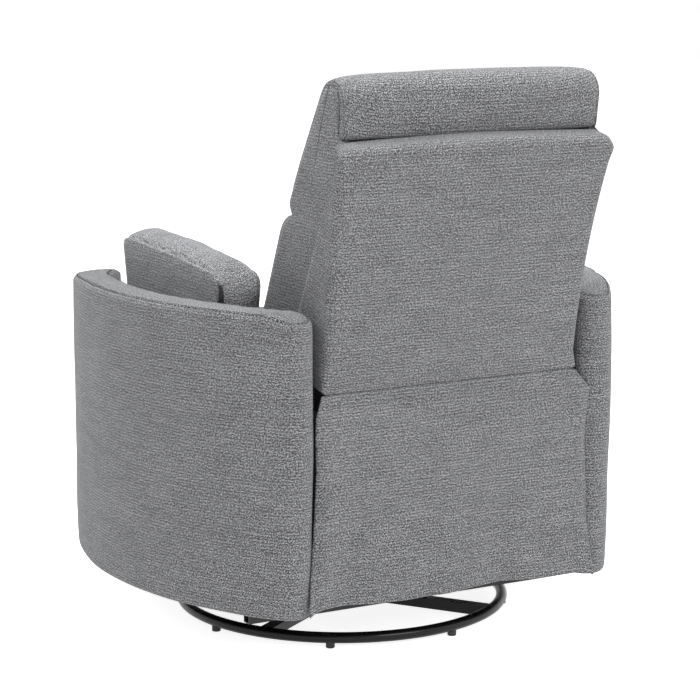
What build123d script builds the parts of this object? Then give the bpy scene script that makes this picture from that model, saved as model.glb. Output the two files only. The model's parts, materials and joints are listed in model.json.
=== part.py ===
from build123d import *
from math import acos, asin, atan2, cos, degrees, hypot, radians, sin, sqrt, tan
import os

# Swivel glider recliner. Millimetres, +Z up, origin on the floor on the swivel axis.
# The front faces -Y, so the sitter's left is +X.

os.makedirs("parts", exist_ok=True)

# ---------------------------------------------------------------- driving dimensions
soft_gap = 0.3            # between padded pieces and what they lie against
running_gap = 0.05        # radial, pin in its hole
side_play = 0.2           # link to the head of its pin
plate = 4                 # sheet steel of the mechanism
tube_wall = 2             # square and round steel tube
LEFT, RIGHT = 1, -1

# Widths: the back's top sets the width of the seat, the frame and the arms
panel_top_half = 266
panel_flare = 12          # the back is narrower at its foot by this, each side
side_plate_inset = 4      # back's foot to side plate
slide_room = 10           # side plate to seat rail, for the slide
cushion_side_gap = 1      # seat cushion to side plate
back_cushion_inset = 9    # back cushions to the edge of the back's foot
pillow_side_gap = 5       # pillow to side plate
footrest_inset = 2        # footrest to the side of the seat cushion
arm_room = 181            # side plate to the middle of the arm, at its widest
flap_shoulder_flare = 18  # flap beyond the back's foot, at its shoulder
flap_hem_flare = 30       # and at its hem
release_lever_gap = 4     # side plate to lever
pawl_inset = 23           # seat rail to pawl

# Ring base
ring_radius = 300
ring_tube_radius = 10
foot_height = 8
foot_radius = 8
foot_count = 8
foot_angle = 12
spoke_count = 4
spoke_width = 24
spoke_height = 18
spoke_inner_radius = 45
hub_size = 260
hub_thickness = 5
hub_corner = 24
hub_hole_radius = 30

# Swivel bearing
race_inner_radius = 46
race_collar_radius = 58
race_outer_radius = 86
race_flange = 5
race_collar_height = 6
race_bolt_circle = 72
race_bolt_radius = 4
race_bolt_count = 4

# Glider
turntable_length = 200
turntable_hole_radius = 40
glide_bracket_x = 160     # outer face of each upright
glide_flange = 30
glide_ear = 14            # from a pivot to the edge of its ear
glide_foot_inset = 10     # turntable edge to the foot of the upright
glide_valley = 75         # how far the upright dips between its ears
glide_pivot_y = 110
glide_pivot_z = 215
glide_link_length = 110
glide_link_width = 22
glide_pin_radius = 5
glide_pin_head = 7.5
glide_pin_head_height = 2
glide_side_gap = 2        # upright to link, and link to rail
glide_rail_height = 40

# Chair frame
cross_rail_size = 20
cross_rail_bottom = 85
front_rail_y = -190
rear_rail_y = 300
side_plate_front = -240
side_plate_top = 349

# Barrel arms: a padded wall bent to an arc, seen from above
arm_center_y = -20
arm_mid_radius = 621
arm_half_length = 379.8   # from the middle to where each end begins to round
arm_thickness = 70
arm_bottom = 105
arm_top = 630
arm_top_round = 15
arm_bottom_round = 6
arm_board = 22
arm_board_top = 560

# Padded ledges inside the arms, and the boxed pillows that stand on them
deck_front = -350
deck_rear = 190
deck_bottom = 300
deck_level = 478          # top of the ledge at deck_level_y
deck_level_y = -250
deck_rake = 4.7
deck_slot = 14            # groove of the release lever, cut into the right ledge
deck_slot_rear = -228
pillow_thickness = 93
pillow_front = -250
pillow_rear = 145
pillow_height = 216
pillow_edge = 13          # how far the seams lie inside the crown
pillow_round = 34

# Seat
seat_rail_bottom = 290
seat_rail_top = 350
seat_rail_front = -362
seat_rail_rear = 305
seat_tube = 22
seat_tube_front = -372
seat_tube_rear = 110
webbing_count = 4
webbing_width = 60
webbing_thickness = 2
webbing_sag = 8
cushion_front = -452
cushion_rear = 118
cushion_height = 132
cushion_nose_round = 150
cushion_edge_round = 40
cushion_top_round = 900
slide_z = 336
slide_height = 22
slide_wall = 2
slide_gap = 0.5
slide_channel_rear = 150
slide_runner_front = -200
slide_runner_rear = 140

# Footrest linkage, in the plane of the side view (y, z), footrest stowed
layer = 7                 # from one layer of link plates to the next
link_pivot = (-335, 318)  # link A on the seat rail
link_a_length = 200
link_b_length = 235
foot_pivot = (-370, 205)  # link B on the footrest bracket
carrier_pivot = (20.2, -1.4)    # link C on the seat rail, from link A's pivot
carrier_lead = 2.0        # degrees that link C stands ahead of link A
tail_along = 25           # rivet of link C on link B's tail: behind the elbow
stay_along = 187          # rivet of link D on link A: from its pivot
stay_foot = (-16.4, 18.5)       # link D on the footrest bracket, from link B's rivet
stay_lead = -3.3          # degrees that link D stands ahead of link B
link_width = 22
link_a_width = 20         # passes the rivet on link B's tail
rivet_radius = 4
rivet_head = 6.5
slack_head = 9.5          # washer over an eye with slack
rivet_head_height = 1.2
link_slack = 2.7          # radial, at the two pivots that close the loops
drive_tube_radius = 9

# Footrest
footrest_bottom = 122
footrest_top = 350
footrest_face = -476
footrest_face_round = 300
footrest_board_front = -412
footrest_board = 12
footrest_board_inset = 8
footrest_bracket_flange = 22

# Back: its rear face is a plane that leans rearwards
seam_y = 390              # bottom edge of the rear panel
seam_z = 487
back_lean = 11.76
panel_height = 422
panel_corner = 30
panel_depth = 45
panel_wall = 10
panel_round = 8
panel_seat = 10           # where the head cushion's rear edge rests on the panel's top
stile_width = 30
stile_depth = 35
stile_below = 60          # how far the stiles reach below the seam
rail_height = 40
rail_depth = 22
bracket_up = 150          # how far the hinge bracket reaches up the stile
cushion_below = 24        # how far the lower cushion's rear edge reaches below the seam
base_depth = 278          # front of the back cushions, from the panel's rear face
lumbar_depth = 250
channel_depth = 209
neck_depth = 163
head_depth = 119
head_rise = 115           # top of the head cushion above the panel
channel_below = 122       # sewn channel between the two back cushions, below the panel's top
lumbar_up = 110
back_face_round = 400
hinge_y = 285
hinge_z = 425
hinge_pin_radius = 7
hinge_pin_head = 11
hinge_ear = 22
recline_arm = 110         # from the hinge down to the pin that pushes the seat
recline_pin_radius = 5
recline_slack = 2.1
recline_angle = 30

# Hanging fabric below the back
flap_thickness = 4
flap_hem_z = 114
flap_hem_y = 400
flap_shoulder_z = 451
flap_shoulder_y = 401
flap_wave = 7             # depth of the folds at the hem
flap_folds = 5

# Release
release_pivot = (-300, 337)
release_shaft_radius = 5
release_shaft_hub = 11
release_lever_thickness = 6
release_grip = (-332, 490)      # centre of the grip in the side view
release_grip_length = 58
release_grip_height = 40
release_stem = 16
pawl_tip = (34, -14)            # from the shaft

# ---------------------------------------------------------------- derived places
panel_bottom_half = panel_top_half - panel_flare
side_plate_x = panel_bottom_half - side_plate_inset     # outer face of each side plate
seat_rail_x = side_plate_x - plate - slide_room         # outer face of each seat side rail
cushion_half_width = side_plate_x - cushion_side_gap
footrest_half_width = cushion_half_width - footrest_inset
back_cushion_half = panel_bottom_half - back_cushion_inset
pillow_inner_x = side_plate_x + pillow_side_gap
flap_shoulder_half = panel_bottom_half + flap_shoulder_flare
flap_hem_half = panel_bottom_half + flap_hem_flare
release_lever_x = side_plate_x + release_lever_gap
pawl_x = seat_rail_x - pawl_inset
arm_center_x = side_plate_x + arm_room - arm_mid_radius # arc centre of the left arm
arm_half_sweep = degrees(asin(arm_half_length / arm_mid_radius))
ring_z = foot_height + ring_tube_radius
spoke_angle = foot_angle + 180 / foot_count
spoke_bottom = ring_z - ring_tube_radius + 2
hub_bottom = spoke_bottom + spoke_height
hub_top = hub_bottom + hub_thickness
race_gap_z = hub_top + race_flange
upper_race_bottom = race_gap_z + soft_gap
turntable_bottom = race_gap_z + race_collar_height + 2
turntable_top = turntable_bottom + plate
glide_bottom_z = glide_pivot_z - glide_link_length
glide_link_x = glide_bracket_x + glide_side_gap
glide_rail_x = glide_link_x + plate + glide_side_gap
cross_rail_top = cross_rail_bottom + cross_rail_size
arm_inner_radius = arm_mid_radius - arm_thickness / 2
seat_layer = seat_rail_x - plate
carrier_layer = seat_layer + layer
link_a_layer = seat_layer - layer
link_b_layer = seat_layer - 2 * layer
stile_x = carrier_layer   # outer face of each stile, against the hinge bracket
seat_top = seat_rail_top + soft_gap
hinge = (hinge_y, hinge_z)
recline_pin = (hinge_y, hinge_z - recline_arm)

pieces = {}


def back_point(up, forward):
    """Side-view point (y, z) at a height up the rear panel and a depth forward of its rear face."""
    lean = radians(back_lean)
    return (seam_y + up * sin(lean) - forward * cos(lean), seam_z + up * cos(lean) + forward * sin(lean))


def back_plane(forward):
    """Sketch plane parallel to the rear panel: x is X, y runs up the panel, the normal points forward."""
    lean = radians(back_lean)
    y, z = back_point(0, forward)
    return Plane(origin=(0, y, z), x_dir=(1, 0, 0), z_dir=(0, -cos(lean), sin(lean)))


def deck_top(y):
    """Height of the raked ledge at a place along it."""
    return deck_level - (y - deck_level_y) * tan(radians(deck_rake))


def side_view(x):
    """Side-view sketch plane at a width x: sketch x is Y and sketch y is Z."""
    return Plane.YZ.offset(x)


def turned(angle, along, across):
    """Vector (along, across) turned by an angle in degrees."""
    a = radians(angle)
    return (along * cos(a) - across * sin(a), along * sin(a) + across * cos(a))


def moved(point, step):
    return (point[0] + step[0], point[1] + step[1])


def angle_between(start, end):
    return degrees(atan2(end[1] - start[1], end[0] - start[0]))


# Elbow of links A and B: the corner of the triangle on the two pivots
reach = hypot(foot_pivot[0] - link_pivot[0], foot_pivot[1] - link_pivot[1])
elbow_corner = degrees(acos((link_a_length ** 2 + reach ** 2 - link_b_length ** 2) / (2 * link_a_length * reach)))
link_a_angle = angle_between(link_pivot, foot_pivot) + elbow_corner
elbow = moved(link_pivot, turned(link_a_angle, link_a_length, 0))
link_b_angle = angle_between(elbow, foot_pivot)
tail = moved(elbow, turned(link_b_angle, -tail_along, 0))
carrier = moved(link_pivot, carrier_pivot)
stay = moved(link_pivot, turned(link_a_angle, stay_along, 0))
stay_end = moved(foot_pivot, stay_foot)
carrier_eye = moved(carrier, turned(link_a_angle + carrier_lead, link_a_length, 0))
stay_eye = moved(stay, turned(link_b_angle + stay_lead, link_b_length, 0))


# ---------------------------------------------------------------- shared shapes
def link_plates(x, start, end, width, start_hole, end_hole, extra=()):
    """Left and right flat link with round ends and a hole at each pivot; extra adds (point, hole) lugs."""
    with BuildPart() as pair:
        with BuildSketch(side_view(x)):
            with BuildSketch(mode=Mode.PRIVATE) as outline:
                for point in (start, end) + tuple(lug[0] for lug in extra):
                    with Locations(point):
                        Circle(width / 2)
                make_hull()
            add(outline)
            with Locations(start):
                Circle(start_hole, mode=Mode.SUBTRACT)
            with Locations(end):
                Circle(end_hole, mode=Mode.SUBTRACT)
            for point, hole in extra:
                with Locations(point):
                    Circle(hole, mode=Mode.SUBTRACT)
        extrude(amount=plate)
        mirror(about=Plane.YZ)
    return pair


def crowned(stations, corners, radii):
    """Cushion lofted across its width.

    Each station is (x, crown) and each corner (y, z, dy, dz): the section at x has its corners at
    (y, z) + crown * (dy, dz), each rounded by its own radius, so the middle swells past the seams.
    """
    with BuildPart() as cushion:
        for x, crown in stations:
            with BuildSketch(side_view(x)):
                with BuildLine():
                    outline = [(y + crown * dy, z + crown * dz) for y, z, dy, dz in corners]
                    FilletPolyline(*outline, radius=radii, close=True)
                make_face()
        loft()
    return cushion


def across(half_width, edge):
    """Stations of a cushion that swells fast inside its side seams and slowly to the middle."""
    half = [(half_width, 0), (half_width - edge, 0.55), (half_width / 2, 0.9)]
    return [(-x, crown) for x, crown in half] + [(0, 1)] + half[::-1]


# ---------------------------------------------------------------- ring base
with BuildPart() as base_ring:
    with BuildSketch(Plane.XZ):
        with Locations((ring_radius, ring_z)):
            Circle(ring_tube_radius)
    revolve(axis=Axis.Z)
pieces["base_ring"] = base_ring

with BuildPart() as base_feet:
    with BuildSketch(Plane.XY):
        with PolarLocations(ring_radius, foot_count, start_angle=foot_angle):
            Circle(foot_radius)
    extrude(amount=ring_z - ring_tube_radius / 2)
    chamfer(base_feet.faces().sort_by(Axis.Z)[:foot_count].edges(), 1)
    with Locations((0, 0, ring_z)):
        Torus(ring_radius, ring_tube_radius, mode=Mode.SUBTRACT)
pieces["base_feet"] = base_feet

with BuildPart() as base_spokes:
    spoke_length = ring_radius - spoke_inner_radius
    with Locations((0, 0, spoke_bottom)):
        with PolarLocations(spoke_inner_radius, spoke_count, start_angle=spoke_angle):
            Box(spoke_length, spoke_width, spoke_height, align=(Align.MIN, Align.CENTER, Align.MIN))
    with Locations((0, 0, spoke_bottom + tube_wall)):
        with PolarLocations(spoke_inner_radius, spoke_count, start_angle=spoke_angle):
            Box(spoke_length, spoke_width - 2 * tube_wall, spoke_height - 2 * tube_wall,
                align=(Align.MIN, Align.CENTER, Align.MIN), mode=Mode.SUBTRACT)
    with Locations((0, 0, ring_z)):
        Torus(ring_radius, ring_tube_radius, mode=Mode.SUBTRACT)
    with BuildSketch(Plane.XY):
        Circle(ring_radius + spoke_width)
        Circle(ring_radius, mode=Mode.SUBTRACT)
    extrude(amount=hub_top, mode=Mode.SUBTRACT)
pieces["base_spokes"] = base_spokes

with BuildPart() as hub_plate:
    with BuildSketch(Plane.XY.offset(hub_bottom)):
        RectangleRounded(hub_size, hub_size, hub_corner, rotation=spoke_angle - 45)
        Circle(hub_hole_radius, mode=Mode.SUBTRACT)
        with PolarLocations(race_bolt_circle, race_bolt_count, start_angle=spoke_angle + 45):
            Circle(race_bolt_radius, mode=Mode.SUBTRACT)
    extrude(amount=hub_thickness)
pieces["hub_plate"] = hub_plate

with BuildPart() as lower_race:
    with BuildSketch(Plane.XZ):
        with BuildLine():
            Polyline((race_inner_radius, hub_top), (race_outer_radius, hub_top), (race_outer_radius, race_gap_z),
                     (race_collar_radius - running_gap, race_gap_z),
                     (race_collar_radius - running_gap, race_gap_z + race_collar_height),
                     (race_inner_radius, race_gap_z + race_collar_height), close=True)
        make_face()
    revolve(axis=Axis.Z)
    with BuildSketch(Plane.XY.offset(hub_top)):
        with PolarLocations(race_bolt_circle, race_bolt_count, start_angle=spoke_angle + 45):
            Circle(race_bolt_radius)
    extrude(amount=race_flange, mode=Mode.SUBTRACT)
pieces["lower_race"] = lower_race

with BuildPart() as race_bolts:
    with BuildSketch(Plane.XY.offset(hub_bottom)):
        with PolarLocations(race_bolt_circle, race_bolt_count, start_angle=spoke_angle + 45):
            Circle(race_bolt_radius)
    extrude(amount=hub_thickness + race_flange)
    with BuildSketch(Plane.XY.offset(hub_bottom)):
        with PolarLocations(race_bolt_circle, race_bolt_count, start_angle=spoke_angle + 45):
            RegularPolygon(race_bolt_radius * 1.8, 6)
    extrude(amount=-race_bolt_radius)
pieces["race_bolts"] = race_bolts

# ---------------------------------------------------------------- turntable
with BuildPart() as upper_race:
    with BuildSketch(Plane.XZ):
        with BuildLine():
            Polyline((race_collar_radius, upper_race_bottom), (race_outer_radius, upper_race_bottom),
                     (race_outer_radius, turntable_bottom), (race_collar_radius, turntable_bottom), close=True)
        make_face()
    revolve(axis=Axis.Z)
pieces["upper_race"] = upper_race

with BuildPart() as turntable_plate:
    with BuildSketch(Plane.XY.offset(turntable_bottom)):
        RectangleRounded(2 * glide_bracket_x, turntable_length, 12)
        Circle(turntable_hole_radius, mode=Mode.SUBTRACT)
    extrude(amount=plate)
pieces["turntable_plate"] = turntable_plate


def glide_bracket(side):
    """Upright with two ears for the links' top pivots, on a flange that lies on the turntable plate."""
    foot = turntable_length / 2 - glide_foot_inset
    ear_top = glide_pivot_z + glide_ear
    ear_bottom = glide_pivot_z - 2 * glide_ear
    valley = ear_top - glide_valley
    inner, outer = glide_pivot_y - glide_ear, glide_pivot_y + glide_ear
    valley_end = inner - glide_valley / 2
    with BuildPart() as bracket:
        with BuildSketch(side_view(side * glide_bracket_x)):
            with BuildLine():
                FilletPolyline((-foot, turntable_top), (foot, turntable_top), (outer, ear_bottom),
                               (outer, ear_top), (inner, ear_top), (valley_end, valley), (-valley_end, valley),
                               (-inner, ear_top), (-outer, ear_top), (-outer, ear_bottom),
                               radius=[2, 2, 20, 10, 10, 14, 14, 10, 10, 20], close=True)
            make_face()
            with Locations((glide_pivot_y, glide_pivot_z), (-glide_pivot_y, glide_pivot_z)):
                Circle(glide_pin_radius, mode=Mode.SUBTRACT)
        extrude(amount=-side * plate)
        with BuildSketch(Plane.XY.offset(turntable_top)):
            with Locations((side * (glide_bracket_x - glide_flange / 2), 0)):
                Rectangle(glide_flange, 2 * foot - plate)
        extrude(amount=plate)
    return bracket


pieces["left_glide_bracket"] = glide_bracket(LEFT)
pieces["right_glide_bracket"] = glide_bracket(RIGHT)

with BuildPart() as glide_top_pins:
    pin_start = glide_bracket_x - plate
    pin_end = glide_link_x + plate + side_play
    pin_places = [(glide_pivot_y, glide_pivot_z), (-glide_pivot_y, glide_pivot_z)]
    with BuildSketch(side_view(pin_start)):
        with Locations(*pin_places):
            Circle(glide_pin_radius)
    extrude(amount=pin_end - pin_start)
    with BuildSketch(side_view(pin_end)):
        with Locations(*pin_places):
            Circle(glide_pin_head)
    extrude(amount=glide_pin_head_height)
    mirror(about=Plane.YZ)
pieces["glide_top_pins"] = glide_top_pins

# ---------------------------------------------------------------- glide links
for end_name, pivot_y in (("front", -glide_pivot_y), ("rear", glide_pivot_y)):
    for side_name, side in (("left", LEFT), ("right", RIGHT)):
        with BuildPart() as glide_link:
            with BuildSketch(side_view(side * glide_link_x)):
                with Locations((pivot_y, (glide_pivot_z + glide_bottom_z) / 2)):
                    SlotCenterToCenter(glide_link_length, glide_link_width, rotation=90)
                with Locations((pivot_y, glide_pivot_z), (pivot_y, glide_bottom_z)):
                    Circle(glide_pin_radius + running_gap, mode=Mode.SUBTRACT)
            extrude(amount=side * plate)
        pieces[f"glide_link_{end_name}_{side_name}"] = glide_link

# ---------------------------------------------------------------- chair frame, steel
with BuildPart() as glide_rails:
    rail_front = front_rail_y + cross_rail_size / 2
    rail_rear = rear_rail_y - cross_rail_size / 2
    with BuildSketch(side_view(glide_rail_x)):
        with Locations(((rail_front + rail_rear) / 2, cross_rail_bottom + glide_rail_height / 2)):
            Rectangle(rail_rear - rail_front, glide_rail_height)
        with Locations((glide_pivot_y, glide_bottom_z), (-glide_pivot_y, glide_bottom_z)):
            Circle(glide_pin_radius, mode=Mode.SUBTRACT)
    extrude(amount=plate)
    mirror(about=Plane.YZ)
pieces["glide_rails"] = glide_rails

with BuildPart() as glide_bottom_pins:
    pin_start = glide_link_x - side_play
    pin_end = glide_rail_x + plate
    pin_places = [(glide_pivot_y, glide_bottom_z), (-glide_pivot_y, glide_bottom_z)]
    with BuildSketch(side_view(pin_start)):
        with Locations(*pin_places):
            Circle(glide_pin_radius)
    extrude(amount=pin_end - pin_start)
    with BuildSketch(side_view(pin_end)):
        with Locations(*pin_places):
            Circle(glide_pin_head)
    extrude(amount=glide_pin_head_height)
    mirror(about=Plane.YZ)
pieces["glide_bottom_pins"] = glide_bottom_pins


def arm_mid_x(y):
    """Width of the arm's mid line at a place along it."""
    return arm_center_x + sqrt(arm_mid_radius ** 2 - (y - arm_center_y) ** 2)


for rail_name, rail_y in (("front_cross_rail", front_rail_y), ("rear_cross_rail", rear_rail_y)):
    with BuildPart() as cross_rail:
        half_length = arm_mid_x(rail_y) + arm_board / 2
        with Locations((0, rail_y, cross_rail_bottom)):
            Box(2 * half_length, cross_rail_size, cross_rail_size, align=(Align.CENTER, Align.CENTER, Align.MIN))
        with Locations((0, rail_y, cross_rail_bottom + tube_wall)):
            Box(2 * half_length, cross_rail_size - 2 * tube_wall, cross_rail_size - 2 * tube_wall,
                align=(Align.CENTER, Align.CENTER, Align.MIN), mode=Mode.SUBTRACT)
    pieces[rail_name] = cross_rail

for side_name, side in (("left", LEFT), ("right", RIGHT)):
    with BuildPart() as side_plate:
        with BuildSketch(side_view(side * side_plate_x)):
            with BuildLine():
                ear_top = hinge_z + hinge_ear
                rear = hinge_y + hinge_ear + 6
                FilletPolyline((front_rail_y - cross_rail_size / 2, cross_rail_top),
                               (rear_rail_y + cross_rail_size / 2, cross_rail_top), (rear, side_plate_top),
                               (hinge_y + hinge_ear, ear_top), (hinge_y - hinge_ear, ear_top),
                               (hinge_y - 2 * hinge_ear, side_plate_top), (side_plate_front, side_plate_top),
                               (side_plate_front, slide_z - slide_height),
                               (front_rail_y - cross_rail_size / 2, slide_z - 2 * slide_height),
                               radius=[2, 2, 4, 18, 18, 20, 6, 6, 20], close=True)
            make_face()
            with Locations(hinge):
                Circle(hinge_pin_radius, mode=Mode.SUBTRACT)
        extrude(amount=-side * plate)
    pieces[f"{side_name}_side_plate"] = side_plate

with BuildPart() as seat_slide_channels:
    channel_inner = carrier_layer + plate / 2 - 1.5
    with BuildSketch(Plane.XZ.offset(-side_plate_front)):
        with Locations((side_plate_x - plate, slide_z)):
            Rectangle(side_plate_x - plate - channel_inner, slide_height, align=(Align.MAX, Align.CENTER))
        with Locations((side_plate_x - plate - slide_wall, slide_z)):
            Rectangle(side_plate_x, slide_height - 2 * slide_wall, align=(Align.MAX, Align.CENTER),
                      mode=Mode.SUBTRACT)
    extrude(amount=side_plate_front - slide_channel_rear)
    mirror(about=Plane.YZ)
pieces["seat_slide_channels"] = seat_slide_channels

with BuildPart() as back_hinge_pins:
    with BuildSketch(side_view(side_plate_x)):
        with Locations(hinge):
            Circle(hinge_pin_radius)
    extrude(amount=-(2 * plate + layer))
    with BuildSketch(side_view(side_plate_x)):
        with Locations(hinge):
            Circle(hinge_pin_head)
    extrude(amount=glide_pin_head_height)
    mirror(about=Plane.YZ)
pieces["back_hinge_pins"] = back_hinge_pins


# ---------------------------------------------------------------- arms
def arm_arc(side):
    """Mid line of an arm, seen from above."""
    middle = 0 if side == LEFT else 180
    return CenterArc((side * arm_center_x, arm_center_y), arm_mid_radius, middle - arm_half_sweep,
                     2 * arm_half_sweep)


for side_name, side in (("left", LEFT), ("right", RIGHT)):
    with BuildPart() as arm_frame:
        with BuildSketch(Plane.XY.offset(arm_bottom)):
            SlotArc(arm_arc(side), arm_board)
        extrude(amount=arm_board_top - arm_bottom)
    pieces[f"{side_name}_arm_frame"] = arm_frame

    with BuildPart() as arm:
        with BuildSketch(Plane.XY.offset(arm_bottom)):
            SlotArc(arm_arc(side), arm_thickness)
        extrude(amount=arm_top - arm_bottom)
        fillet(arm.faces().sort_by(Axis.Z)[-1].edges(), arm_top_round)
        fillet(arm.faces().sort_by(Axis.Z)[0].edges(), arm_bottom_round)
        with BuildSketch(Plane.XY.offset(arm_bottom)):
            SlotArc(arm_arc(side), arm_board)
        extrude(amount=arm_board_top - arm_bottom, mode=Mode.SUBTRACT)
    pieces[f"{side_name}_arm"] = arm

    with BuildPart() as side_deck:
        with BuildSketch(Plane.XY.offset(deck_bottom)):
            with Locations((side * side_plate_x, (deck_front + deck_rear) / 2)):
                Rectangle(arm_mid_radius, deck_rear - deck_front,
                          align=(Align.MIN if side == LEFT else Align.MAX, Align.CENTER))
            with Locations((side * arm_center_x, arm_center_y)):
                Circle(arm_inner_radius - soft_gap, mode=Mode.INTERSECT)
        extrude(amount=2 * (deck_level - deck_bottom))
        with BuildSketch(side_view(0)):
            with BuildLine():
                Polyline((deck_front - 10, deck_top(deck_front - 10)), (deck_rear + 10, deck_top(deck_rear + 10)),
                         (deck_rear + 10, 2 * deck_level), (deck_front - 10, 2 * deck_level), close=True)
            make_face()
        extrude(amount=arm_mid_radius, both=True, mode=Mode.SUBTRACT)
        if side == RIGHT:
            with Locations((-side_plate_x, deck_slot_rear, deck_bottom)):
                Box(2 * deck_slot, 2 * (deck_slot_rear - deck_front), 2 * deck_level,
                    align=(Align.CENTER, Align.MAX, Align.CENTER), mode=Mode.SUBTRACT)
    pieces[f"{side_name}_side_deck"] = side_deck

    near, far = side * pillow_inner_x, side * (pillow_inner_x + pillow_thickness)
    middle = (near + far) / 2
    seam_front, seam_rear = pillow_front + pillow_edge, pillow_rear - pillow_edge
    seam_top = pillow_height - pillow_edge + soft_gap
    arm_pillow = crowned(
        [(near, 0), (near + side * pillow_edge, 0.75), (middle, 1), (far - side * pillow_edge, 0.75), (far, 0)],
        [(seam_front, deck_top(seam_front) + soft_gap, -pillow_edge, deck_top(0) - deck_top(pillow_edge)),
         (seam_rear, deck_top(seam_rear) + soft_gap, pillow_edge, deck_top(pillow_edge) - deck_top(0)),
         (seam_rear, deck_top(pillow_rear) + seam_top, pillow_edge * 0.6, 4),
         ((seam_front + seam_rear) / 2, deck_top((seam_front + seam_rear) / 2) + seam_top + 3, 0, pillow_edge),
         (seam_front, deck_top(pillow_front) + seam_top, -pillow_edge * 0.6, 4)],
        [10, 10, pillow_round, 900, pillow_round])
    pieces[f"{side_name}_arm_pillow"] = arm_pillow

# ---------------------------------------------------------------- seat
with BuildPart() as seat_side_rails:
    with BuildSketch(side_view(seat_layer)):
        with BuildLine():
            FilletPolyline((seat_rail_front, seat_rail_bottom), (seat_rail_rear, seat_rail_bottom),
                           (seat_rail_rear, recline_pin[1] + 25), (seat_tube_rear + 60, seat_rail_top),
                           (seat_rail_front, seat_rail_top), radius=[12, 12, 12, 20, 4], close=True)
        make_face()
        with Locations(link_pivot, carrier):
            Circle(rivet_radius, mode=Mode.SUBTRACT)
        with Locations(recline_pin, release_pivot):
            Circle(recline_pin_radius, mode=Mode.SUBTRACT)
    extrude(amount=plate)
    mirror(about=Plane.YZ)
pieces["seat_side_rails"] = seat_side_rails

with BuildPart() as seat_cross_tubes:
    for tube_y in (seat_tube_front, seat_tube_rear):
        with Locations((0, tube_y, seat_rail_top)):
            Box(2 * seat_layer, seat_tube, seat_tube, align=(Align.CENTER, Align.MIN, Align.MAX))
        with Locations((0, tube_y + tube_wall, seat_rail_top - tube_wall)):
            Box(2 * seat_layer, seat_tube - 2 * tube_wall, seat_tube - 2 * tube_wall,
                align=(Align.CENTER, Align.MIN, Align.MAX), mode=Mode.SUBTRACT)
pieces["seat_cross_tubes"] = seat_cross_tubes

with BuildPart() as seat_webbing:
    web_front = seat_tube_front + seat_tube
    web_rear = seat_tube_rear
    web_top = seat_rail_top - webbing_thickness
    web_middle = ((web_front + web_rear) / 2, web_top - webbing_sag)
    web_pitch = 2 * seat_layer / webbing_count
    for number in range(webbing_count):
        web_x = -seat_layer + web_pitch * (number + 0.5) - webbing_width / 2
        with BuildSketch(side_view(web_x)):
            with BuildLine():
                ThreePointArc((web_front, web_top), web_middle, (web_rear, web_top))
                Line((web_rear, web_top), (web_rear, web_top - webbing_thickness))
                ThreePointArc((web_rear, web_top - webbing_thickness),
                              moved(web_middle, (0, -webbing_thickness)),
                              (web_front, web_top - webbing_thickness))
                Line((web_front, web_top - webbing_thickness), (web_front, web_top))
            make_face()
        extrude(amount=webbing_width)
pieces["seat_webbing"] = seat_webbing

seat_cushion = crowned(
    across(cushion_half_width, 24),
    [(cushion_rear, seat_top, 0, 0),
     (cushion_front + 6, seat_top, -6, 0),
     (cushion_front, seat_top + cushion_height / 2, -10, 0),
     (cushion_front + 6, seat_top + cushion_height, -6, 10),
     ((cushion_front + cushion_rear) / 2, seat_top + cushion_height + 3, 0, 16),
     (cushion_rear - 4, seat_top + cushion_height - 8, 0, 2)],
    [4, 22, cushion_nose_round, cushion_edge_round, cushion_top_round, 16])
pieces["seat_cushion"] = seat_cushion

with BuildPart() as seat_slide_runners:
    runner_height = slide_height - 2 * slide_wall - 2 * slide_gap
    with BuildSketch(Plane.XZ.offset(-slide_runner_front)):
        with Locations((seat_rail_x, slide_z)):
            Rectangle(side_plate_x - plate - slide_wall - slide_gap - seat_rail_x, runner_height,
                      align=(Align.MIN, Align.CENTER))
    extrude(amount=slide_runner_front - slide_runner_rear)
    mirror(about=Plane.YZ)
pieces["seat_slide_runners"] = seat_slide_runners

with BuildPart() as seat_pivot_pins:
    link_face = link_a_layer - side_play
    with BuildSketch(side_view(link_face)):
        with Locations(link_pivot):
            Circle(rivet_radius)
    extrude(amount=seat_rail_x - link_face)
    carrier_face = carrier_layer + plate + side_play
    with BuildSketch(side_view(seat_layer)):
        with Locations(carrier):
            Circle(rivet_radius)
    extrude(amount=carrier_face - seat_layer)
    with BuildSketch(side_view(carrier_face)):
        with Locations(carrier):
            Circle(rivet_head)
    extrude(amount=rivet_head_height)
    mirror(about=Plane.YZ)
pieces["seat_pivot_pins"] = seat_pivot_pins

with BuildPart() as seat_recline_pins:
    with BuildSketch(side_view(seat_layer)):
        with Locations(recline_pin):
            Circle(recline_pin_radius)
    extrude(amount=plate + layer)
    mirror(about=Plane.YZ)
pieces["seat_recline_pins"] = seat_recline_pins

# ---------------------------------------------------------------- footrest linkage
free_hole = rivet_radius + running_gap
slack_hole = rivet_radius + link_slack

pieces["footrest_link_a"] = link_plates(link_a_layer, link_pivot, elbow, link_a_width, free_hole, rivet_radius,
                                        extra=[(stay, rivet_radius)])
pieces["footrest_link_b"] = link_plates(link_b_layer, elbow, foot_pivot, link_width, free_hole, rivet_radius,
                                        extra=[(tail, rivet_radius)])
pieces["footrest_link_c"] = link_plates(carrier_layer, carrier, carrier_eye, link_width, free_hole, slack_hole)
pieces["footrest_link_d"] = link_plates(seat_layer, stay, stay_eye, link_width, free_hole, slack_hole)

with BuildPart() as drive_tube:
    with BuildSketch(side_view(link_a_layer)):
        with Locations(link_pivot):
            Circle(drive_tube_radius)
    extrude(amount=-2 * link_a_layer)
    with BuildSketch(side_view(link_a_layer)):
        with Locations(link_pivot):
            Circle(drive_tube_radius - tube_wall)
    extrude(amount=-2 * link_a_layer, mode=Mode.SUBTRACT)
pieces["drive_tube"] = drive_tube

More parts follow.
